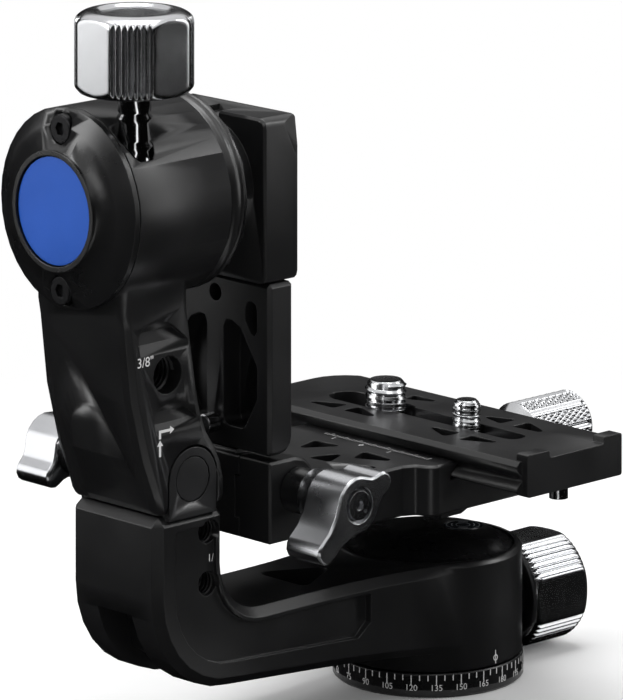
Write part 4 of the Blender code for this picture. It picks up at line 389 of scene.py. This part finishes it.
def begun(name, numbers):
    """A new geometry tree with its number inputs and a surface input."""
    tree = bpy.data.node_groups.new(name, "GeometryNodeTree")
    for label, value in numbers.items():
        kind = "NodeSocketInt" if isinstance(value, int) else "NodeSocketFloat"
        tree.interface.new_socket(label, in_out="INPUT", socket_type=kind).default_value = value
    tree.interface.new_socket("Surface", in_out="INPUT", socket_type="NodeSocketMaterial")
    tree.interface.new_socket("Geometry", in_out="OUTPUT", socket_type="NodeSocketGeometry")
    return tree, node(tree, "NodeGroupInput")


def ended(tree, given, geometry, smooth=None):
    """Realizes what the tree made and gives it its surface."""
    whole = node(tree, "GeometryNodeRealizeInstances", Geometry=geometry)
    if smooth is not None:
        turn = node(tree, "GeometryNodeInputMeshEdgeAngle")
        even = node(tree, "FunctionNodeCompare", {"operation": "LESS_THAN"}, i0=turn.outputs[0],
                    i1=math.radians(smooth))
        whole = node(tree, "GeometryNodeSetShadeSmooth", {"domain": "EDGE"},
                     Geometry=whole.outputs[0], Shade_Smooth=even.outputs[0])
        whole = node(tree, "GeometryNodeSetShadeSmooth", Geometry=whole.outputs[0])
    dress = node(tree, "GeometryNodeSetMaterial", Geometry=whole.outputs[0],
                 Material=given.outputs["Surface"])
    node(tree, "NodeGroupOutput", Geometry=dress.outputs[0])


def maths(tree, operation, *values):
    """One sum on numbers or sockets."""
    made = node(tree, "ShaderNodeMath", {"operation": operation},
                **{f"i{index}": value for index, value in enumerate(values)})
    return made.outputs[0]


def lettering(name, rows, surface, body):
    """Printed words: each row is the words, their height and where a point of them lands."""
    form = bmesh.new()
    for words, height, land in rows:
        curve = bpy.data.curves.new(name, "FONT")
        curve.body = words
        curve.align_x = "CENTER"
        written = bpy.data.objects.new(name, curve)
        bpy.context.scene.collection.objects.link(written)
        mesh = evaluated(written)
        bpy.data.objects.remove(written)
        tall = max(corner.co.y for corner in mesh.vertices)
        for corner in mesh.vertices:
            corner.co = land(corner.co.x * height / tall, corner.co.y * height / tall)
        form.from_mesh(mesh)
    mesh = bpy.data.meshes.new(name)
    form.to_mesh(mesh)
    form.free()
    mesh.materials.clear()
    mesh.materials.append(surface)
    return kept(name, mesh, body)


def printed(name, outlines, land, surface, body):
    """Printed marks: flat outlines, and where a point of them lands."""
    corners, faces = [], []
    for outline in outlines:
        faces.append(tuple(range(len(corners), len(corners) + len(outline))))
        corners += [land(x, y) for x, y in outline]
    mesh = bpy.data.meshes.new(name)
    mesh.from_pydata(corners, [], faces)
    mesh.materials.append(surface)
    return kept(name, mesh, body)


# Cast aluminium, anodised black: almost no colour, a soft sheen and a faint sandy grain.
black = finish("black_anodised_casting", "#151516", metallic=0.0, roughness=0.34, grain=0.3,
               grain_mm=0.25, edge_mm=0.35)
# The same anodising over turned metal: fine lines round the axis make the sheen silky.
black_turned = finish("black_anodised_turning", "#131314", metallic=0.0, roughness=0.3, grain=0.3,
                      grain_mm=0.3, edge_mm=0.3, turned="Z")
# Printing ink: pale and half matt, so that it reads clearly where the metal beside it goes dark.
paint = finish("pale_printing", "#d2d2d2", metallic=0.0, roughness=0.55, grain=0.2, grain_mm=0.1,
               edge_mm=0.02)

dressed("base_ring", black_turned)
DIAL_RADIUS = 0.02457
DIAL_TOP = 0.0058
DIAL_STEP = 5
DIAL_SHORT = 0.0014
DIAL_LONG = 0.0024
DIAL_OFFSET = 95
DIAL_STROKE = 0.00025
DIAL_RAISED = 0.0001
FIGURE_STEP = 15
FIGURE_HEIGHT = 0.0015
FIGURE_LOW = 0.0019
tree, given = begun("dial_marks", {"Radius": DIAL_RADIUS, "Step": math.radians(DIAL_STEP),
                                   "Short": DIAL_SHORT, "Long": DIAL_LONG,
                                   "Stroke": DIAL_STROKE})
line = node(tree, "GeometryNodePoints", Count=360 // DIAL_STEP)
index = node(tree, "GeometryNodeInputIndex").outputs[0]
third = maths(tree, "COMPARE", maths(tree, "MODULO", index, 3.0), 1.0, 0.5)
length = node(tree, "ShaderNodeMapRange", i0=third, i3=given.outputs["Short"], i4=given.outputs["Long"])
size = node(tree, "ShaderNodeCombineXYZ", X=given.outputs["Stroke"], Y=DIAL_RAISED, Z=1.0)
bar = node(tree, "GeometryNodeMeshCube", Size=size.outputs[0])
shift = node(tree, "ShaderNodeCombineXYZ", Y=maths(tree, "MULTIPLY", given.outputs["Radius"], -1.0),
             Z=-0.5)
bar = node(tree, "GeometryNodeTransform", Geometry=bar.outputs[0], Translation=shift.outputs[0])
turn = node(tree, "ShaderNodeCombineXYZ", Z=maths(tree, "MULTIPLY", index, given.outputs["Step"]))
tall = node(tree, "ShaderNodeCombineXYZ", X=1.0, Y=1.0, Z=length.outputs[0])
bars = node(tree, "GeometryNodeInstanceOnPoints", Points=line.outputs[0], Instance=bar.outputs[0],
            Rotation=turn.outputs[0], Scale=tall.outputs[0])
ended(tree, given, bars.outputs[0])
grown("dial_marks", tree, Matrix.Translation((0, 0, DIAL_TOP)), paint, "base")


def on_dial(value, low):
    """Where a point of a figure lands on the ring."""
    start = math.radians(value + DIAL_OFFSET)
    return lambda x, y: (DIAL_RADIUS * math.cos(start + x / DIAL_RADIUS),
                         DIAL_RADIUS * math.sin(start + x / DIAL_RADIUS), low + y)


lettering("dial_figures", [(str(value), FIGURE_HEIGHT, on_dial(value, FIGURE_LOW))
                           for value in range(0, 360, FIGURE_STEP)], paint, "base")

# The tripod bush and the spindle: brass with a 3/8 inch thread, and turned steel. They are what
# the tripod's stud and the panning shoe bear on.

# Turned brass: a warm metal with a clear highlight and fine lines from the tool.
brass = finish("turned_brass", "#b08d57", metallic=1.0, roughness=0.28, grain=0.15, grain_mm=0.2,
               edge_mm=0.2, turned="Z")
# Turned steel: a cool grey metal, brighter and smoother than the brass.
steel = finish("turned_steel", "#b9b9bb", metallic=1.0, roughness=0.2, grain=0.12, grain_mm=0.2,
               edge_mm=0.2, turned="Z")
# Moulded plastic: cream and a little glossy, a thin warm line between the metals.
liner = finish("moulded_liner", "#d8d5c8", metallic=0.0, roughness=0.5, grain=0.1, grain_mm=0.3,
               edge_mm=0.2)
dressed("thread_bush", brass)
for name in ("pan_spindle", "pan_thrust"):
    dressed(name, steel)
dressed("pan_bearing", liner)

COARSE_PITCH = 0.001588
FINE_PITCH = 0.00127
RIDGE_SHARE = 0.42

tree, given = begun("thread", {"Radius": 0.004, "Pitch": FINE_PITCH, "Turns": 6.0, "Ridge": 0.0004})
coil = node(tree, "GeometryNodeCurveSpiral", Resolution=28, Rotations=given.outputs["Turns"],
            i2=given.outputs["Radius"], i3=given.outputs["Radius"],
            Height=maths(tree, "MULTIPLY", given.outputs["Turns"], given.outputs["Pitch"]))
tooth = node(tree, "GeometryNodeCurvePrimitiveCircle", Resolution=4, Radius=given.outputs["Ridge"])
coil = node(tree, "GeometryNodeCurveToMesh", Curve=coil.outputs[0], i1=tooth.outputs[0], Fill_Caps=True)
ended(tree, given, coil.outputs[0], 40)
thread_tree = tree


def thread(name, place, radius, pitch, length, surface, body):
    """A helical thread ridge that stands on a bore's wall or on a screw."""
    return grown(name, thread_tree, place, surface, body,
                 {"Radius": radius, "Pitch": pitch, "Turns": length / pitch,
                  "Ridge": pitch * RIDGE_SHARE})


TRIPOD_THREAD_START = 0.0008
TRIPOD_THREAD_RADIUS = 0.00445
TRIPOD_THREAD_LENGTH = 0.0100
thread("tripod_thread", Matrix.Translation((0, 0, TRIPOD_THREAD_START)), TRIPOD_THREAD_RADIUS,
       COARSE_PITCH, TRIPOD_THREAD_LENGTH, brass, "base")

# The lower arm: one machined bend of black anodised aluminium that turns on the spindle. Its
# recessed sides, windows and threaded side holes break up the long black faces.
dressed("lower_arm", black)
SIDE_HOLE_X = -0.0912
SIDE_HOLE_HEIGHTS = (0.0552, 0.0424)
SIDE_THREAD_Y = -0.0143
SIDE_THREAD_RADIUS = 0.00318
SIDE_THREAD_LENGTH = 0.0062
inward = Matrix.Rotation(-math.pi / 2, 4, "X")
for number, height in enumerate(SIDE_HOLE_HEIGHTS, 1):
    place = Matrix.Translation((SIDE_HOLE_X, SIDE_THREAD_Y, height)) @ inward
    thread(f"side_thread_{number}", place, SIDE_THREAD_RADIUS, FINE_PITCH, SIDE_THREAD_LENGTH, black,
           "pan_arm")

ARM_FACE_Y = -0.01604
RECESS_FACE_Y = -0.01494
SIDE_WORDS_HEIGHT = 0.0019
SIDE_WORDS_PLACE = (-0.0890, 0.0476)
HOUSING_RADIUS = 0.02425
HOOP_STEPS = 24
MARK_HALF = 0.00013
MARK_NECK_HALF = 0.00011
MARK_LEVELS = (0.0069, 0.0077, 0.0091, 0.0103)
MARK_EYE = (0.00052, 0.00078)


def on_side(x, z, y=ARM_FACE_Y):
    """Where a point lands on a face that looks along -Y, from its own middle."""
    return lambda across, up: (x + across, y, z + up)


lettering("side_hole_size",
          [("1/4\"", SIDE_WORDS_HEIGHT, on_side(*SIDE_WORDS_PLACE, RECESS_FACE_Y))], paint,
          "pan_arm")


def hoop(x, y, inner, outer, start=0, end=360):
    """An open or closed ring as an outline."""
    turns = [math.radians(start + (end - start) * step / HOOP_STEPS)
             for step in range(HOOP_STEPS + 1)]
    return ([(x + outer * math.cos(turn), y + outer * math.sin(turn)) for turn in turns]
            + [(x + inner * math.cos(turn), y + inner * math.sin(turn)) for turn in reversed(turns)])


def on_housing(across, up):
    """Where a point of the index mark lands on the housing."""
    turn = -math.pi / 2 + across / HOUSING_RADIUS
    return (HOUSING_RADIUS * math.cos(turn), HOUSING_RADIUS * math.sin(turn), up)


def stroke(half, foot, top):
    """A stroke of the index mark as an outline."""
    return [(-half, foot), (half, foot), (half, top), (-half, top)]


foot, eye_foot, eye_top, top = MARK_LEVELS
printed("index_mark", [stroke(MARK_HALF, foot, eye_foot), stroke(MARK_HALF, eye_top, top),
                       stroke(MARK_NECK_HALF, eye_foot, eye_top),
                       hoop(0, (eye_foot + eye_top) / 2, *MARK_EYE)],
        on_housing, paint, "pan_arm")

# The panning cap closes the housing from above and carries the round level. The cap is turned and
# satin anodised; the level's window has two printed rings, and four grey arcs as a painted glint.

# Fine turning, anodised black: the deepest black of the head, with a narrow soft highlight.
satin = finish("black_satin_turning", "#101011", metallic=0.0, roughness=0.27, grain=0.2, grain_mm=0.25,
               edge_mm=0.25, turned="Z")
dressed("pan_cap", satin)
# The level's window: dark and glossy, so that it mirrors the surround.
vial_glass = finish("level_glass", "#1c2024", metallic=0.0, roughness=0.06, grain=0.0, grain_mm=0.2,
                    edge_mm=0.1)
dressed("level_vial", vial_glass)
low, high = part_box("level_vial")
vial_x, vial_y = (low[0] + high[0]) / 2, (low[1] + high[1]) / 2
# Etched rings and a painted bubble glint: grey and half matt, standing out softly on the dark window.
etched_and_glint = finish("rings_and_painted_glint", "#6e7276", metallic=0.0, roughness=0.35, grain=0.1, grain_mm=0.1,
                edge_mm=0.02)
LEVEL_RINGS = ((0.0042, 0.0044), (0.0017, 0.0019))
# Four short grey arcs between the rings: a painted glint of the bubble, printed flat on the window.
PAINTED_GLINT_RING = (0.0028, 0.0031)
PAINTED_GLINT_STARTS = (20, 110, 200, 290)
PAINTED_GLINT_SWEEP = 50
PRINT_LIFT = 0.00001
printed("level_rings_and_glint", [hoop(0, 0, inner, outer) for inner, outer in LEVEL_RINGS]
        + [hoop(0, 0, *PAINTED_GLINT_RING, start, start + PAINTED_GLINT_SWEEP) for start in PAINTED_GLINT_STARTS],
        lambda x, y: (vial_x + x, vial_y + y, high[2] + PRINT_LIFT), etched_and_glint, "pan_arm")

# The panning lock: a fluted knob of bright anodised aluminium on a beaded stem, which drives a
# brass shoe against the spindle. Flats, flutes and a dished face give the hand its grip.

# Bright anodised aluminium: a clear silver with a crisp highlight on every ridge.
bright = finish("bright_anodised_aluminium", "#c9cacc", metallic=1.0, roughness=0.2, grain=0.12,
                grain_mm=0.2, edge_mm=0.25)
KNOB_RADIUS = 0.0146
KNOB_FLAT = 0.01335
KNOB_FACE = 0.0098
SHOULDER_FOOT = 0.0170
SHOULDER_RISE = 0.0030
SHOULDER_STEPS = 8
KNOB_SOFTNESS = 0.0006
KNOB_COLUMNS = 504
KNOB_ROWS = 84
FLUTE_DEPTH = 0.0009
FLUTE_COUNT = 7.0
PAN_KNOB_X = 0.0264
PAN_KNOB_Z = 0.015
CURVE_SCALE = 0.03
SEAM = 0.000003


def along(tree, share, levels, scale):
    """A curve through the profile's levels, from its share along the profile to its size."""
    curve = node(tree, "ShaderNodeFloatCurve", Value=share)
    points = curve.mapping.curves[0].points
    for place, (at, size) in enumerate(levels):
        if 0 < place < len(levels) - 1:
            points.new(at, size / scale)
        else:
            points[min(place, len(points) - 1)].location = (at, size / scale)
    for point in points:
        point.handle_type = "VECTOR"
    curve.mapping.update()
    return maths(tree, "MULTIPLY", curve.outputs[0], scale)


def lathe_tree(name, profile, numbers, columns, rows):
    """A grid that a tree can wrap round an axis: gives its turn, limit and height as sockets."""
    tree, given = begun(name, numbers)
    grid = node(tree, "GeometryNodeMeshGrid", i0=1.0, i1=1.0, i2=columns + 1, i3=rows + 1)
    spot = node(tree, "ShaderNodeSeparateXYZ", i0=node(tree, "GeometryNodeInputPosition").outputs[0])
    turn = maths(tree, "MULTIPLY", maths(tree, "ADD", spot.outputs[0], 0.5), math.tau)
    share = maths(tree, "ADD", spot.outputs[1], 0.5)
    runs = [0.0]
    for (radius, height), (next_radius, next_height) in zip(profile, profile[1:]):
        runs.append(runs[-1] + math.hypot(next_radius - radius, next_height - height))
    shares = [run / runs[-1] for run in runs]
    limit = along(tree, share, [(at, point[0]) for at, point in zip(shares, profile)], CURVE_SCALE)
    height = along(tree, share, [(at, point[1]) for at, point in zip(shares, profile)], CURVE_SCALE)
    return tree, given, grid, turn, limit, height


def wrap(tree, given, grid, turn, reach, height, smooth=40):
    """Sets the grid round the axis at its reach and height, and ends the tree."""
    spot = node(tree, "ShaderNodeCombineXYZ",
                X=maths(tree, "MULTIPLY", reach, maths(tree, "COSINE", turn)),
                Y=maths(tree, "MULTIPLY", reach, maths(tree, "SINE", turn)), Z=height)
    moved = node(tree, "GeometryNodeSetPosition", Geometry=grid.outputs[0], Position=spot.outputs[0])
    closed = node(tree, "GeometryNodeMergeByDistance", Geometry=moved.outputs[0], Distance=SEAM)
    ended(tree, given, closed.outputs[0], smooth)


shoulder = [(KNOB_FACE + (KNOB_RADIUS - KNOB_FACE) * math.cos(turn),
             SHOULDER_FOOT + SHOULDER_RISE * math.sin(turn))
            for turn in (math.pi / 2 * step / SHOULDER_STEPS
                         for step in range(1, SHOULDER_STEPS + 1))]
knob_profile = [(0, 0), (0.0125, 0), (0.0134, 0.0004), (KNOB_RADIUS, 0.0018),
                (KNOB_RADIUS, SHOULDER_FOOT), *shoulder,
                (0.0092, 0.0198), (0.0086, 0.0192), (0.0062, 0.0192), (0.0060, 0.0193),
                (0.0058, 0.0192), (0, 0.0192)]
tree, given, grid, turn, limit, height = lathe_tree(
    "fluted_knob", knob_profile, {"Flat": KNOB_FLAT, "Radius": KNOB_RADIUS, "Depth": FLUTE_DEPTH,
                                  "Flutes": FLUTE_COUNT}, KNOB_COLUMNS, KNOB_ROWS)
half_flat = math.acos(KNOB_FLAT / KNOB_RADIUS)
zone = math.pi / 2 - 2 * half_flat
off = maths(tree, "WRAP", turn, math.pi / 4, -math.pi / 4)
away = maths(tree, "ABSOLUTE", off)
flat = maths(tree, "DIVIDE", given.outputs["Flat"], maths(tree, "COSINE", off))
beat = maths(tree, "MULTIPLY", maths(tree, "SUBTRACT", math.pi / 4, away), math.tau / zone)
beat = maths(tree, "COSINE", maths(tree, "MULTIPLY", beat, given.outputs["Flutes"]))
hollow = maths(tree, "MULTIPLY", maths(tree, "ADD", beat, 1.0), 0.5)
inside = maths(tree, "GREATER_THAN", away, half_flat)
hollow = maths(tree, "MULTIPLY", maths(tree, "MULTIPLY", hollow, inside), given.outputs["Depth"])
fluted = maths(tree, "SUBTRACT", given.outputs["Radius"], hollow)
reach = maths(tree, "MINIMUM", flat, fluted)
wrap(tree, given, grid, turn, maths(tree, "SMOOTH_MIN", reach, limit, KNOB_SOFTNESS), height, 35)
knob_tree = tree
to_x = Matrix.Rotation(math.pi / 2, 4, "Y")
grown("pan_knob_form", knob_tree, Matrix.Translation((PAN_KNOB_X, 0, PAN_KNOB_Z)) @ to_x, bright,
      "pan_lock", stands_for=("pan_knob",))
dressed("pan_knob_stem", satin)
dressed("pan_brake_shoe", brass)

# The folding joint: a bolt through both ears of the lower arm, a block that the upper arm rides
# on, and a cast lever that clamps them. The lever's steel cap has a hexagon and a pin hole.
SOCKET_RADIUS = 0.0013
SOCKET_DEPTH = 0.0006
PIN_ACROSS = 0.0020
PIN_DOWN = 0.0016
PIN_RADIUS = 0.00035
PIN_DEPTH = 0.0004
PIN_SIDES = 10


def punch(name, centre, radius, depth, outward, sides=6):
    """A cutter for a socket that opens along -Y or +Y."""
    ring = [(radius * math.cos(math.tau * side / sides), radius * math.sin(math.tau * side / sides))
            for side in range(sides)]
    near, far = outward * depth, -outward * depth
    corners = [(centre[0] + x, centre[1] + near, centre[2] + z) for x, z in ring]
    corners += [(centre[0] + x, centre[1] + far, centre[2] + z) for x, z in ring]
    faces = [(side, (side + 1) % sides, sides + (side + 1) % sides, sides + side)
             for side in range(sides)] + [tuple(range(sides))[::-1], tuple(range(sides, 2 * sides))]
    made = sheet(name, corners, faces)
    form = bmesh.new()
    form.from_mesh(made.data)
    bmesh.ops.recalc_face_normals(form, faces=form.faces)
    form.to_mesh(made.data)
    form.free()
    return made


dressed("fold_bolt", black)
dressed("fold_block", steel)
# Cast aluminium, tumbled: silver with a softer and less even shine than the knobs.
lever_metal = finish("tumbled_aluminium_casting", "#c6c7ca", metallic=1.0, roughness=0.24, grain=0.25,
                     grain_mm=0.3, edge_mm=0.3)
# Faced steel: a shade darker than the lever round it, with a finer grain.
cap_metal = finish("faced_steel_cap", "#9fa0a3", metallic=1.0, roughness=0.22, grain=0.15, grain_mm=0.2,
                   edge_mm=0.15)
for name in ("fold_lever", "clamp_lever"):
    dressed(name, lever_metal)
    dressed(f"{name}_collar", satin)
    low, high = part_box(f"{name}_cap")
    outward = 1 if name == "fold_lever" else -1
    middle = ((low[0] + high[0]) / 2, high[1] if outward > 0 else low[1], (low[2] + high[2]) / 2)
    dressed(f"{name}_cap", cap_metal,
            (punch("socket", middle, SOCKET_RADIUS, SOCKET_DEPTH, outward),
             punch("pin_hole", (middle[0] + PIN_ACROSS, middle[1], middle[2] - PIN_DOWN), PIN_RADIUS,
                   PIN_DEPTH, outward, PIN_SIDES)))

# The upper arm: a casting with an arched hollow on its outer face, scoops in its side, a 3/8 inch
# hole and printed arrows that show how it folds. It ends in the tilting barrel.
LARGE_THREAD_START = (-0.1054, -0.0125, 0.0958)
LARGE_THREAD_RADIUS = 0.00478
LARGE_THREAD_LENGTH = 0.0245
LARGE_WORDS_HEIGHT = 0.0024
LARGE_WORDS_PLACE = (-0.1127, 0.0989)

dressed("upper_arm", black)
thread("large_thread", Matrix.Translation(LARGE_THREAD_START) @ inward, LARGE_THREAD_RADIUS,
       COARSE_PITCH, LARGE_THREAD_LENGTH, black, "upright")
lettering("large_hole_size", [("3/8\"", LARGE_WORDS_HEIGHT, on_side(*LARGE_WORDS_PLACE))], paint,
          "upright")
printed("fold_arrows", [
    [(-0.10825, 0.0763), (-0.10755, 0.0763), (-0.10755, 0.0789), (-0.10825, 0.0789)],
    [(-0.1089, 0.0789), (-0.1069, 0.0789), (-0.1079, 0.0803)],
    [(-0.10825, 0.0806), (-0.10755, 0.0806), (-0.10755, 0.0820), (-0.10825, 0.0827)],
    [(-0.10825, 0.0827), (-0.10755, 0.0820), (-0.1046, 0.0820), (-0.1046, 0.0827)],
    [(-0.1046, 0.0814), (-0.1032, 0.08235), (-0.1046, 0.0833)]],
    lambda x, z: (x, ARM_FACE_Y, z), paint, "upright")

# The tilting bearing: a spindle in a liner and a seal, closed by a domed cap with a coated blue
# disc, which two blackened socket screws hold.

# Blackened steel: dark, but with a metal's shine.
black_steel = finish("blackened_steel", "#1b1b1d", metallic=0.7, roughness=0.3, grain=0.2,
                     grain_mm=0.15, edge_mm=0.2)
# Black anodised turning that is seen end on, so its lines run round the X axis.
cap_black = finish("black_anodised_cap", "#131314", metallic=0.0, roughness=0.3, grain=0.25,
                   grain_mm=0.3, edge_mm=0.3, turned="X")
# A blue coating over turned metal: a strong colour under a soft metallic shine.
blue = finish("blue_coated_disc", "#1a55b8", metallic=0.25, roughness=0.34, grain=0.3, grain_mm=0.3,
              edge_mm=0.25, turned="X")
dressed("tilt_cap", cap_black)
dressed("cap_disc", blue)
dressed("tilt_seal", satin)
dressed("tilt_bearing", liner)
dressed("tilt_spindle", steel)
SCREW_SOCKET_RADIUS = 0.0017
SCREW_SOCKET_DEPTH = 0.0011
for number in (1, 2):
    low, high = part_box(f"cap_screw_{number}")
    hexagon = punch("socket", (0, 0, 0), SCREW_SOCKET_RADIUS, SCREW_SOCKET_DEPTH, -1)
    hexagon.data.transform(Matrix.Translation((low[0], (low[1] + high[1]) / 2, (low[2] + high[2]) / 2))
                           @ Matrix.Rotation(math.pi / 2, 4, "Z"))
    dressed(f"cap_screw_{number}", black_steel, (hexagon,))

# The tilting lock: the same fluted knob, upright, on a polished stem with two beads that drives
# the cotter beside the spindle.

# Polished steel: the smoothest metal of the head, and nearly a mirror.
polished = finish("polished_steel", "#c4c4c6", metallic=1.0, roughness=0.13, grain=0.05, grain_mm=0.2,
                  edge_mm=0.15, turned="Z")
TILT_KNOB_X = -0.1164
TILT_KNOB_Y = -0.0161
low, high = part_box("tilt_knob")
grown("tilt_knob_form", knob_tree, Matrix.Translation((TILT_KNOB_X, TILT_KNOB_Y, low[2])), bright,
      "tilt_lock", stands_for=("tilt_knob",))
dressed("tilt_knob_stem", polished, smooth=60)
dressed("tilt_cotter", brass)

# The cradle: a cast swing head on the spindle and the rail that hangs from it, with a stop screw
# and the clamp's body. All are black anodised, and the rail's edges catch the light.
for name in ("swing_head", "vertical_rail", "clamp_body"):
    dressed(name, black)
dressed("rail_stop_screw", steel)

# The clamp: a jaw of black anodised aluminium that a turned steel stud and the second lever draw
# against the platform's tongue.
dressed("clamp_jaw", black)
dressed("clamp_stud", steel)

# The platform: a machined bed of black anodised aluminium with a fixed dovetail jaw and a tongue.
# Its printed scale shows how far the plate has slid.
RULER_X = -0.0215
RULER_START_Y = -0.021
RULER_Z = 0.06172
RULER_MARKS = 38
RULER_STEP = 0.001
RULER_SHORT = 0.0011
RULER_LONG = 0.0019
RULER_STROKE = 0.00018
RULER_RAISED = 0.00004
RULER_WORDS = (("1", 0.011), ("0", 0.001), ("1", -0.009))
RULER_WORDS_X = -0.0222
RULER_WORDS_HEIGHT = 0.0016

dressed("platform", black)
tree, given = begun("ruler_marks", {"Step": RULER_STEP, "Short": RULER_SHORT, "Long": RULER_LONG})
line = node(tree, "GeometryNodePoints", Count=RULER_MARKS)
index = node(tree, "GeometryNodeInputIndex").outputs[0]
fifth = maths(tree, "COMPARE", maths(tree, "MODULO", index, 5.0), 0.0, 0.5)
length = node(tree, "ShaderNodeMapRange", i0=fifth, i3=given.outputs["Short"], i4=given.outputs["Long"])
bar = node(tree, "GeometryNodeMeshCube", Size=(1.0, RULER_STROKE, RULER_RAISED))
bar = node(tree, "GeometryNodeTransform", Geometry=bar.outputs[0], Translation=(0.5, 0, 0))
spot = node(tree, "ShaderNodeCombineXYZ", Y=maths(tree, "MULTIPLY", index, given.outputs["Step"]))
tall = node(tree, "ShaderNodeCombineXYZ", X=length.outputs[0], Y=1.0, Z=1.0)
line = node(tree, "GeometryNodeSetPosition", Geometry=line.outputs[0], Position=spot.outputs[0])
bars = node(tree, "GeometryNodeInstanceOnPoints", Points=line.outputs[0], Instance=bar.outputs[0],
            Scale=tall.outputs[0])
ended(tree, given, bars.outputs[0])
grown("ruler_marks", tree, Matrix.Translation((RULER_X, RULER_START_Y, RULER_Z)), paint, "bed")
lettering("ruler_figures", [(words, RULER_WORDS_HEIGHT,
                             lambda x, y, at=at: (RULER_WORDS_X - y, at + x, RULER_Z))
                            for words, at in RULER_WORDS], paint, "bed")

# The movable dovetail jaw and its knob: nine pads of crisp diamond knurling round a bright body,
# with smooth hollows between them and a cone toward the jaw.
dressed("lens_jaw", black)
LENS_RADIUS = 0.0085
LENS_AXIS_Z = 0.055
LENS_COLUMNS = 540
LENS_ROWS = 150
LENS_PADS = 9.0
PAD_HOLLOW = 0.0007
PAD_EDGE = 0.64
KNURL_LOW = 0.0026
KNURL_HIGH = 0.0222
KNURL_PITCH = 0.0026
KNURL_ROW = 0.0013
KNURL_DEPTH = 0.00042
KNURL_FADE = (0.60, 0.66)
lens_profile = [(0, 0), (0.0062, 0), (0.0080, 0.0019), (LENS_RADIUS, 0.0025), (LENS_RADIUS, KNURL_HIGH),
                (0.0080, 0.0229), (0.0060, 0.0230), (0.0056, 0.0226), (0, 0.0226)]
tree, given, grid, turn, limit, height = lathe_tree(
    "knurled_knob", lens_profile, {"Pads": LENS_PADS, "Hollow": PAD_HOLLOW, "Pitch": KNURL_PITCH,
                                   "Row": KNURL_ROW, "Knurl": KNURL_DEPTH, "Radius": LENS_RADIUS},
    LENS_COLUMNS, LENS_ROWS)
pad = maths(tree, "DIVIDE", math.tau, given.outputs["Pads"])
half = maths(tree, "MULTIPLY", pad, 0.5)
off = maths(tree, "WRAP", turn, half, maths(tree, "MULTIPLY", half, -1.0))
part = maths(tree, "DIVIDE", maths(tree, "ABSOLUTE", off), half)
dip = node(tree, "ShaderNodeMapRange", {"interpolation_type": "SMOOTHSTEP"}, i0=part,
           i1=PAD_EDGE, i2=1.0, i3=0.0, i4=given.outputs["Hollow"])
edge = node(tree, "ShaderNodeMapRange", i0=part, i1=KNURL_FADE[0], i2=KNURL_FADE[1], i3=1.0,
            i4=0.0)
ends = maths(tree, "MULTIPLY", maths(tree, "GREATER_THAN", height, KNURL_LOW),
             maths(tree, "LESS_THAN", height, KNURL_HIGH))
across = maths(tree, "DIVIDE", maths(tree, "MULTIPLY", off, given.outputs["Radius"]),
               given.outputs["Row"])
down = maths(tree, "DIVIDE", height, given.outputs["Pitch"])
rise = [maths(tree, "PINGPONG", maths(tree, operation, across, down), 0.5)
        for operation in ("ADD", "SUBTRACT")]
peak = maths(tree, "MULTIPLY", maths(tree, "MINIMUM", *rise), 2.0)
cut = maths(tree, "MULTIPLY", maths(tree, "SUBTRACT", 1.0, peak), given.outputs["Knurl"])
cut = maths(tree, "MULTIPLY", maths(tree, "MULTIPLY", cut, edge.outputs[0]), ends)
reach = maths(tree, "SUBTRACT", maths(tree, "SUBTRACT", limit, cut),
              maths(tree, "MULTIPLY", dip.outputs[0], ends))
wrap(tree, given, grid, turn, reach, height, 25)
low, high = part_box("lens_knob")
grown("lens_knob_form", tree, Matrix.Translation((low[0], 0, LENS_AXIS_Z)) @ to_x, bright,
      "dovetail_lock", stands_for=("lens_knob",))
dressed("lens_knob_stem", polished)

# The lens plate: a long dovetail plate with windows and a stepped slot, two sliding washers and
# the camera screws, which are bright and fully threaded.
dressed("lens_plate", black)
for name in ("screw_washer_large", "screw_washer_small", "stop_pin_near", "stop_pin_far"):
    dressed(name, steel)
THREAD_LOW = 0.0628
for size, y, radius, pitch, length in (("large", 0.0154, 0.00476, COARSE_PITCH, 0.0085),
                                       ("small", -0.0139, 0.00317, FINE_PITCH, 0.0083)):
    name = f"camera_screw_{size}"
    body = nodes[name]["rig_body"]
    dressed(name, bright)
    thread(f"{name}_thread", Matrix.Translation((0, y, THREAD_LOW)), radius, pitch, length, bright,
           body)

low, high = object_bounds()
